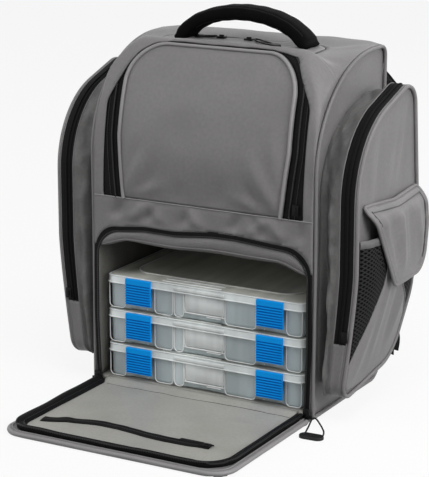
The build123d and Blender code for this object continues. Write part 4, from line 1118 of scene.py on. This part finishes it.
def blocks(*sizes):
    """Blocks in millimetres, each (low corner, high corner, rounding, segments of the rounding)."""
    bm = bmesh.new()
    for low, high, edge, segments in sizes:
        low, high = Vector(low), Vector(high)
        made = bmesh.ops.create_cube(bm, size=1.0)["verts"]
        bmesh.ops.scale(bm, vec=high - low, verts=made)
        bmesh.ops.translate(bm, vec=(low + high) / 2, verts=made)
        bmesh.ops.bevel(bm, geom=list({e for v in made for e in v.link_edges}), offset=edge,
                        offset_type="OFFSET", segments=segments, profile=0.5, affect="EDGES", material=-1)
    bmesh.ops.scale(bm, vec=(MM, MM, MM), verts=bm.verts)
    return bm


def cast_slider(name, along, through, faces_up):
    """A slider in its node's box: a wedge plate, with a narrower bridge on its outer face for the pull."""
    low, high = (np.array(v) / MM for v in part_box(name))
    size = high - low
    plate_low, plate_high = low.copy(), high.copy()
    if faces_up:
        plate_high[through] = low[through] + 0.55 * size[through]
    else:
        plate_low[through] = high[through] - 0.55 * size[through]
    # The bridge stops short of the wedge by these shares of the slider's size on each side and end.
    trim = np.full(3, 0.3)
    trim[along], trim[through] = 0.22, 0
    cast = blocks((plate_low, plate_high, 0.7, 2), (low + trim * size, high - trim * size, 0.8, 3))
    piece(f"{name}_cast", cast, slider_paint, name, name, slot="zip_slider")


for name in ("front_pocket_slider", "right_side_slider", "left_side_slider"):
    cast_slider(name, 2, 1, False)
for name in ("top_slider_left", "top_slider_right"):
    cast_slider(name, 0, 2, True)
# The door's sliders stand on edge, each with an ear towards its side for the pull.
for side, sign in SIDES[::-1]:
    name = f"door_slider_{side}"
    low, high = (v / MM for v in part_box(name))
    ear_side = high.x if sign > 0 else low.x
    left, right = sorted((ear_side - sign * 3.6, ear_side - sign * 11.6))
    ear_left, ear_right = sorted((ear_side - sign * 4.6, ear_side))
    cast = blocks(((left, low.y, low.z), (right, high.y, high.z), 1.0, 2),
                  ((ear_left, low.y + 1, low.z + 1), (ear_right, high.y - 1, low.z + 5), 0.7, 2),
                  ((left + 2, low.y - 0.8, low.z + 3), (right - 2, low.y + 1.2, high.z - 2), 0.6, 2))
    piece(f"{name}_cast", cast, slider_paint, name, name, slot="zip_slider")
low, high = (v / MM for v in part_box("door_pocket_slider"))
pull = blocks(((high.x - 11, low.y, low.z), (high.x, high.y, high.z - 0.3), 0.9, 2),
              ((low.x, low.y + 2, low.z + 0.4), (high.x - 9, high.y, high.z), 1.0, 3),
              ((low.x + 3, low.y + 3.2, high.z - 0.6), (high.x - 16, high.y - 1.2, high.z + 0.3), 0.3, 2),
              ((high.x - 7.5, low.y + 3, high.z - 0.6), (high.x - 2, high.y - 3, high.z + 0.4), 0.4, 2))
piece("door_pocket_pull", pull, slider_paint, "door_pocket_slider", "door_pocket_slider", slot="zip_slider")


# ---- Tackle boxes
# Three flat boxes of clear polypropylene stand in the compartment.  Each has a divided tray, a lid on a
# moulded hinge and two blue latches that snap over the lid's skirt.
def clear_plastic(name, colour, alpha, roughness):
    """Injection-moulded polypropylene: milky, with a faint flow pattern from the mould."""
    material = solid_colour(name, colour, roughness, Alpha=alpha, IOR=1.49)
    bands = pattern(material, "Mapping", Scale=(38, 3, 7))
    flow = node(material, "TexNoise", {"Vector": bands.outputs[0]}, Scale=1.0, Detail=2.0)
    two_tone(material, flow, paint(colour), [c * 0.78 for c in paint(colour)[:3]] + [1.0],
             From_Min=0.38, From_Max=0.62)
    grain(material, flow, 0.0003, 0.4)
    return material


# Thin walls let most of the inside show; ribs, rims and corners are thicker and look whiter.
thin_wall = clear_plastic("clear polypropylene lid", "#F0F1E8", 0.78, 0.2)
tray_wall = clear_plastic("clear polypropylene tray", "#EEFBFF", 0.56, 0.16)
skirt_wall = clear_plastic("clear polypropylene skirt", "#F8FFFF", 0.80, 0.18)
thick_rim = clear_plastic("milky polypropylene rim", "#FDFFFF", 0.93, 0.25)
# The folded rims are solid and the whitest part.
bright_rim = clear_plastic("white polypropylene edge", "#FAFFFF", 0.96, 0.2)
# Blue polypropylene, moulded with grip ribs: satin.  The ribs' grooves are coloured a darker blue as painted
# shade.
blue_plastic = solid_colour("blue polypropylene", "#00A2FF", 0.42, Specular_IOR_Level=0.16)
grain(blue_plastic, pattern(blue_plastic, "TexNoise", Scale=500.0, Detail=2.0), 0.00008, 0.5)
painted_shade_blue = solid_colour("blue polypropylene groove with painted shade", "#0A76D6", 0.6, Specular_IOR_Level=0.1)


def closed_evenly(line, count):
    """A closed line as exactly count points."""
    return evenly(closed_up(line), count + 1)[:-1]


def loft(loops, cap_first=False, cap_last=False):
    """A skin through closed loops with equal numbers of points, in millimetres, each end capped or open."""
    bm = web(loops, closed=True)
    for wanted, loop in ((cap_first, loops[0]), (cap_last, loops[-1])):
        if wanted:
            spots = np.array(loop) * MM
            rim = [v for v in bm.verts if v.is_boundary
                   and np.min(np.linalg.norm(spots - np.array(v.co), axis=1)) < 0.03 * MM]
            edges = [e for e in bm.edges if e.is_boundary and e.verts[0] in rim and e.verts[1] in rim]
            made = bmesh.ops.contextual_create(bm, geom=edges)["faces"]
            bmesh.ops.triangulate(bm, faces=made, quad_method="BEAUTY", ngon_method="BEAUTY")
    bmesh.ops.recalc_face_normals(bm, faces=bm.faces)
    return bm


def level_loop(corners, z, grow=0.0):
    """A closed loop in plan, at a height, from rounded corners moved out by grow."""
    moved = [(x + grow * np.sign(x), y + grow * np.sign(y + 1), max(r + grow, 0.6)) for x, y, r in corners]
    return xyz(*closed_evenly(path(moved, 1.0), 176).T, z)


BOX_FEET = (10.9, 54.9, 98.9)
TRAY = [(-134.3, -85.8, 9), (-109, -85.8, 1.5), (-109, -83.0, 1.5), (-70, -83.0, 1.5), (-70, -85.8, 1.5),
        (-29, -85.8, 1.5), (-29, -84.4, 1.2), (29, -84.4, 1.2), (29, -85.8, 1.5), (73, -85.8, 1.5),
        (73, -83.0, 1.5), (111, -83.0, 1.5), (111, -85.8, 1.5), (134.3, -85.8, 9), (134.3, 83.8, 9),
        (-134.3, 83.8, 9)]
LID = oblong(-136.4, -88, 136.4, 86, 8, 8)
PANEL = oblong(-114, -62, 114, 62, 24, 24)
# Ribs round the tray's front cells: each (left, right, foot, depth).
CELLS = ((-133, -110.5, 1.5, -85.6), (-68.5, -43, 1.5, -85.6), (-41, -28, 1.5, -85.6), (-27, 27.5, 8.5, -85.4),
         (29.5, 71.5, 1.5, -85.6), (112.5, 133, 1.5, -85.6))
LID_TOP = 42.6                           # of a box, over its foot
LATCH_TOP, LATCH_TALL, LATCH_HALF, LATCH_FACE = 41.5, 33.0, 17.75, -91.5
# A latch is rounded towards its two ends: (how far along, how much of its full section).
LATCH_ENDS = ((-LATCH_HALF, 0.90), (-17.4, 0.975), (-16.8, 1.0), (16.8, 1.0), (17.4, 0.975), (LATCH_HALF, 0.90))

for number, foot in enumerate(BOX_FEET, 1):
    body = f"tackle_box_{number}"
    tray = loft([level_loop(TRAY, foot + z, grow) for z, grow in (
        (0.2, -5.0), (0.9, -2.6), (2.6, -1.2), (6.0, -0.5), (36, -0.1), (40.2, 0))], cap_first=True)
    piece(f"box_{number}_tray", tray, tray_wall, body, f"{body}_tray", slot="clear_plastic", thick=1.4)
    for k, (left, right, low, depth) in enumerate(CELLS):
        across, up = path([(left, 32, 1), (left, low, 5.5), (right, low, 5.5), (right, 32, 1)], 1.6).T
        bead(f"box_{number}_cell_{k}", xyz(across, depth, foot + up), 1.3, thick_rim, body,
             slot="clear_plastic", closed=True)
    rib_foot, rib_top = foot + 1.8, foot + 37.5
    ribs = blocks(
        ((-40, -84.8, foot + 3), (-29, -83.9, foot + 32.2), 0.4, 1),
        *(((x - 0.8, -82, rib_foot), (x + 0.8, 82, rib_top), 0.4, 1) for x in (-81, -27, 27, 81)),
        ((-132, -1.8, rib_foot), (132, -0.2, rib_top), 0.4, 1),
        ((-29, -86.0, foot + 8.0), (29, -84.0, foot + 9.6), 0.5, 1),
        ((4, -86.3, foot + 6.2), (24, -85.2, foot + 7.4), 0.4, 1))
    piece(f"box_{number}_ribs", ribs, thick_rim, body, slot="clear_plastic", smooth=False)
    top = foot + LID_TOP
    skirt = loft([level_loop(LID, top + z, grow) for z, grow in (
        (-10.0, 0.1), (-9.0, 0.1), (-8.2, -0.5), (-1.2, -0.7), (-0.2, -1.5), (0, -3.0))])
    piece(f"box_{number}_skirt", skirt, skirt_wall, body, f"{body}_lid", slot="clear_plastic", thick=1.2)
    plate = loft([level_loop(corners, top + z, grow) for corners, z, grow in (
        (LID, 0, -3.0), (LID, -0.3, -5.0), (PANEL, -0.3, 1.5), (PANEL, 0.8, 0.0), (PANEL, 0.8, -3.0),
        (PANEL, 0.3, -4.5))], cap_last=True)
    piece(f"box_{number}_top", plate, thin_wall, body, slot="clear_plastic", thick=1.0)
    for name, corners, z, grow, thick, plastic in (("panel_edge", PANEL, 0.7, 0.4, 1.1, thick_rim),
                                                   ("crown", LID, -0.8, -1.0, 1.6, bright_rim),
                                                   ("lip", LID, -9.4, 0.0, 1.8, bright_rim)):
        bead(f"box_{number}_{name}", level_loop(corners, top + z, grow), thick, plastic, body,
             slot="clear_plastic", closed=True)
    tab = blocks(((-60, -82, top - 0.4), (22, -79, top + 0.9), 0.5, 2),
                 ((-60, -72, top - 0.4), (22, -69, top + 0.9), 0.5, 2),
                 ((-40, -88.9, top - 7.4), (30, -88, top - 3.2), 0.4, 2),
                 ((-26, -85.6, foot + 10.5), (27, -84.3, foot + 33), 0.4, 1))
    piece(f"box_{number}_tab", tab, bright_rim, body, slot="clear_plastic")

    # A latch is one section in the side view, with eight sunk grooves in its face, drawn out sideways.
    peak = foot + LATCH_TOP
    grooves = peak - 31.0 + 3.3 * np.arange(8)
    heights = np.concatenate([[peak - LATCH_TALL, peak - 32.6],
                              np.ravel(grooves[:, None] + (-0.75, -0.45, 0.45, 0.75)),
                              np.linspace(peak - 6.4, peak - 0.8, 6), [peak, peak]])
    sunk = np.abs(heights[:, None] - grooves).min(1) < 0.5
    front = LATCH_FACE + 0.25 * ((heights - peak + LATCH_TALL / 2) / (LATCH_TALL / 2)) ** 2 + 1.3 * sunk
    front[[0, -2, -1]] += (1.2, 0.9, 1.8)
    profile = np.vstack([np.column_stack([front, heights]),
                         [[-88.6, peak], [-88.6, peak - 20], [-88.6, peak - LATCH_TALL]]])
    centre = profile.mean(0)
    for side, middle in (("left", -89.5), ("right", 92.0)):
        latch = loft([xyz(middle + x, *(centre + (profile - centre) * (0.5 + full / 2, 0.75 + full / 4)).T)
                      for x, full in LATCH_ENDS], cap_first=True, cap_last=True)
        # Faces sunk in the grooves take the darker blue, as painted shade.
        for face in latch.faces:
            spot = face.calc_center_median() / MM
            on_front = spot.y < LATCH_FACE + 1.5 and abs(spot.x - middle) < 16.9
            if on_front and np.abs(spot.z - grooves).min() < 0.76:
                face.material_index = 1
        name = f"{body}_latch_{side}"
        pins = blocks(*(((middle + end - 0.9, -90.4, peak - 24), (middle + end + 0.9, -88.6, peak - 21), 0.4, 1)
                        for end in (-17.5, 17.5)))
        piece(f"box_{number}_latch_{side}_pins", pins, blue_plastic, name, slot="blue_latch")
        piece(f"box_{number}_latch_{side}", latch, [blue_plastic, painted_shade_blue], name, name, slot="blue_latch",
              smooth=False)


# ---- Back pads
# Two tall foam pads stand side by side over a low wide one.  They are covered in air mesh, sewn to the
# back panel round their edges, and swell between their quilting seams.

# Spacer mesh: black polyester knitted over foam, with small round cells drawn 4 mm apart.
air_mesh = solid_colour("black air mesh", "#141415", 0.75, Specular_IOR_Level=0.15)
cells = pattern(air_mesh, "TexVoronoi", Scale=260.0, feature="F1")
cells = two_tone(air_mesh, cells, paint("#060606"), paint("#252526"), From_Min=0.15, From_Max=0.45)
grain(air_mesh, cells, 0.0006)
SWELL_FRAMES, SWELL_PRESSURE = 20, 4.0
PAD_BACK = 93.35         # where the pads lie flat against the back panel
# Each pad: its left and right edges, its foot and its top.
PADS = (("right_back_pad", 23.5, 116.5, 121.5, 370.5), ("left_back_pad", -116.5, -23.5, 121.5, 370.5),
        ("low_back_pad", -116.5, 116.5, 41.5, 108.5))


def shape_of(maker):
    """A piece's mesh with its modifiers applied."""
    return maker.evaluated_get(bpy.context.evaluated_depsgraph_get())


def puffed(bm, name, most):
    """Swell a closed cloth shape with cloth simulation, each point by at most that many millimetres."""
    mesh = bpy.data.meshes.new(name)
    bm.to_mesh(mesh)
    bm.free()
    maker = bpy.data.objects.new(name, mesh)
    scene.collection.objects.link(maker)
    even = maker.modifiers.new("even", "REMESH")
    even.mode = "VOXEL"
    even.voxel_size = 0.005
    bpy.context.view_layer.update()
    flat = bpy.data.meshes.new_from_object(shape_of(maker))
    maker.modifiers.clear()
    maker.data = flat
    still = np.array([v.co for v in flat.vertices])
    step = np.zeros_like(still)
    sim = maker.modifiers.new("swell", "CLOTH")
    sim.settings.use_pressure = True
    sim.settings.uniform_pressure_force = SWELL_PRESSURE
    sim.settings.effector_weights.gravity = 0
    sim.point_cache.frame_start, sim.point_cache.frame_end = 1, SWELL_FRAMES
    for frame_number in range(1, SWELL_FRAMES + 1):
        scene.frame_set(frame_number)
    step = np.array([v.co for v in shape_of(maker).data.vertices]) - still
    maker.modifiers.clear()
    scene.frame_set(1)
    far = np.linalg.norm(step, axis=1)[:, None]
    swollen = bmesh.new()
    swollen.from_mesh(flat)
    for v, spot in zip(swollen.verts, still + step * np.minimum(1, most * MM / np.maximum(far, 1e-9))):
        v.co = spot
    bpy.data.objects.remove(maker)
    return swollen


for name, low, high, foot, top in PADS:
    corners = oblong(low, foot, high, top, 17, 17)
    loops = []
    for y, inset in ((93.6, 0.6), (95.5, 0.0), (98.0, 2.0), (99.8, 7.0)):
        edge = path(oblong(low + inset, foot + inset, high - inset, top - inset, 17, 17), 4)
        across, up = closed_evenly(edge, 120).T
        loops.append(xyz(across, y, up))
    shape = puffed(loft(loops, cap_first=True, cap_last=True), name, 3.0)
    # Quilting seams cross the two tall pads, and run down the low one.
    axis, seams = ("z", (183, 246, 309)) if top > 200 else ("x", (-39, 39))
    for v in shape.verts:
        spot = v.co / MM
        v.co.y = max(v.co.y, PAD_BACK * MM)
        if spot.y > 96:
            v.co.y -= 1.8 * sum(np.exp(-((getattr(spot, axis) - at) / 4) ** 2) for at in seams) * MM
    pad = piece(name, shape, air_mesh, "pack", slot="mesh")
    finer = pad.modifiers.new("finer", "SUBSURF")
    finer.levels = finer.render_levels = 1
    across, up = path(corners, 4).T
    bead(f"{name}_binding", xyz(across, 94.6, up), 2.6, zip_tape, "pack", slot="webbing", closed=True)
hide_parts("back_pads")


# ---- Shoulder straps, webbing and ladder locks
# Curved foam straps hang from the top seam to a plastic ladder lock each; webbing runs from the lock to
# a tab sewn into the lower side seam.

# Nylon webbing: black, woven in a flat rib, drawn 1.8 mm apart, with a soft shine.
webbing_cloth = oxford("nylon webbing", "#0C0C0C", "#161617", 0.0018, 0.65, 0.0005, Specular_IOR_Level=0.2)
outer = evenly(path([(44, 397, 0), (86, 397, 30), (139, 391, 22), (159, 365, 40), (165, 300, 60),
                     (157, 220, 60), (145, 141, 0)], 3, False), 110)
inner = evenly(path([(37, 357, 0), (66, 353, 40), (97, 336, 40), (107, 290, 40), (105, 220, 40),
                     (101, 141, 0)], 3, False), 110)
ribbon = outer * 0.5 + inner * 0.5
# The strap's inner face bows out from the back between its two ends, and its foam thins towards both.
height = ribbon[:, 1]
bow = np.clip((398 - height) / 258, 0, 1)
near = 94.2 + 13.0 * bow + 27.0 * np.sin(bow * pi) ** 1.1
thick = 10.5 - 4 * ease(380, 396, height) - 2 * ease(152, 141, height)

for side, sign in SIDES:
    rows = []
    for angle in np.linspace(0, 2 * pi, 26, endpoint=False):
        share = 0.5 - 0.5 * squared(cos(angle), 0.45)
        rise = 0.5 * squared(sin(angle), 0.7)
        spot = outer + (inner - outer) * share
        crown = 1.0 - 0.16 * abs(cos(angle))
        rows.append(xyz(sign * spot[:, 0], near + thick * (0.5 + rise * crown), spot[:, 1]))
    strap = web(rows + rows[:1])
    bmesh.ops.remove_doubles(strap, verts=strap.verts, dist=0.03 * MM)
    bmesh.ops.holes_fill(strap, edges=[e for e in strap.edges if e.is_boundary])
    bmesh.ops.recalc_face_normals(strap, faces=strap.faces)
    strap = piece(f"{side}_shoulder_strap", strap, air_mesh, "pack", slot="mesh")
    for name, edge in (("outer", outer), ("inner", inner)):
        bead(f"{side}_strap_binding_{name}", xyz(sign * edge[:, 0], near + thick * 0.5, edge[:, 1]), 3.2,
             zip_tape, "pack", slot="webbing")
    rows = [xyz(sign * (ribbon[:, 0] + off), near + thick + lift, height)
            for off, lift in ((-12, -0.8), (-11, 0.9), (11, 0.9), (12, -0.8))]
    piece(f"{side}_strap_webbing", web(rows[::-sign]), webbing_cloth, "pack", slot="webbing", thick=1.0)
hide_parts("shoulder_straps")

route = spaced(np.array([[123.0, 112.5, 111.3], [136.0, 107.0, 97.0], [152.0, 101.0, 83.0], [162.5, 98.0, 68.0],
                         [165.5, 96.4, 54.0], [164.0, 95.4, 41.0]]), 5)
way = np.gradient(route, axis=0)
beside = unit(xyz(-way[:, 2], 0, way[:, 0]))
tab = spaced(np.array([[171.0, 42.0], [158.0, 46.0], [140.0, 47.0]]), 4)
for side, sign in SIDES:
    rows = [(route + beside * off + (0, 0.2 * np.cos(off), 0)) * (sign, 1, 1) for off in (-12, -6, 0, 6, 12)]
    tail = piece(f"{side}_strap_tail", web(rows[::sign]), webbing_cloth, "pack", slot="webbing", thick=1.6)
    rows = [xyz(sign * tab[:, 0], 94.4, tab[:, 1] + off) for off in (-8, 0, 11)]
    piece(f"{side}_strap_tab", web(rows), webbing_cloth, "pack", slot="webbing", thick=1.6)
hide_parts("strap_webbing")
# Ladder locks: acetal, moulded black and satin.
acetal = solid_colour("black acetal", "#161617", 0.35)
grain(acetal, pattern(acetal, "TexNoise", Scale=600.0, Detail=2.0), 0.00006, 0.5)
dress(acetal, "ladder_locks")
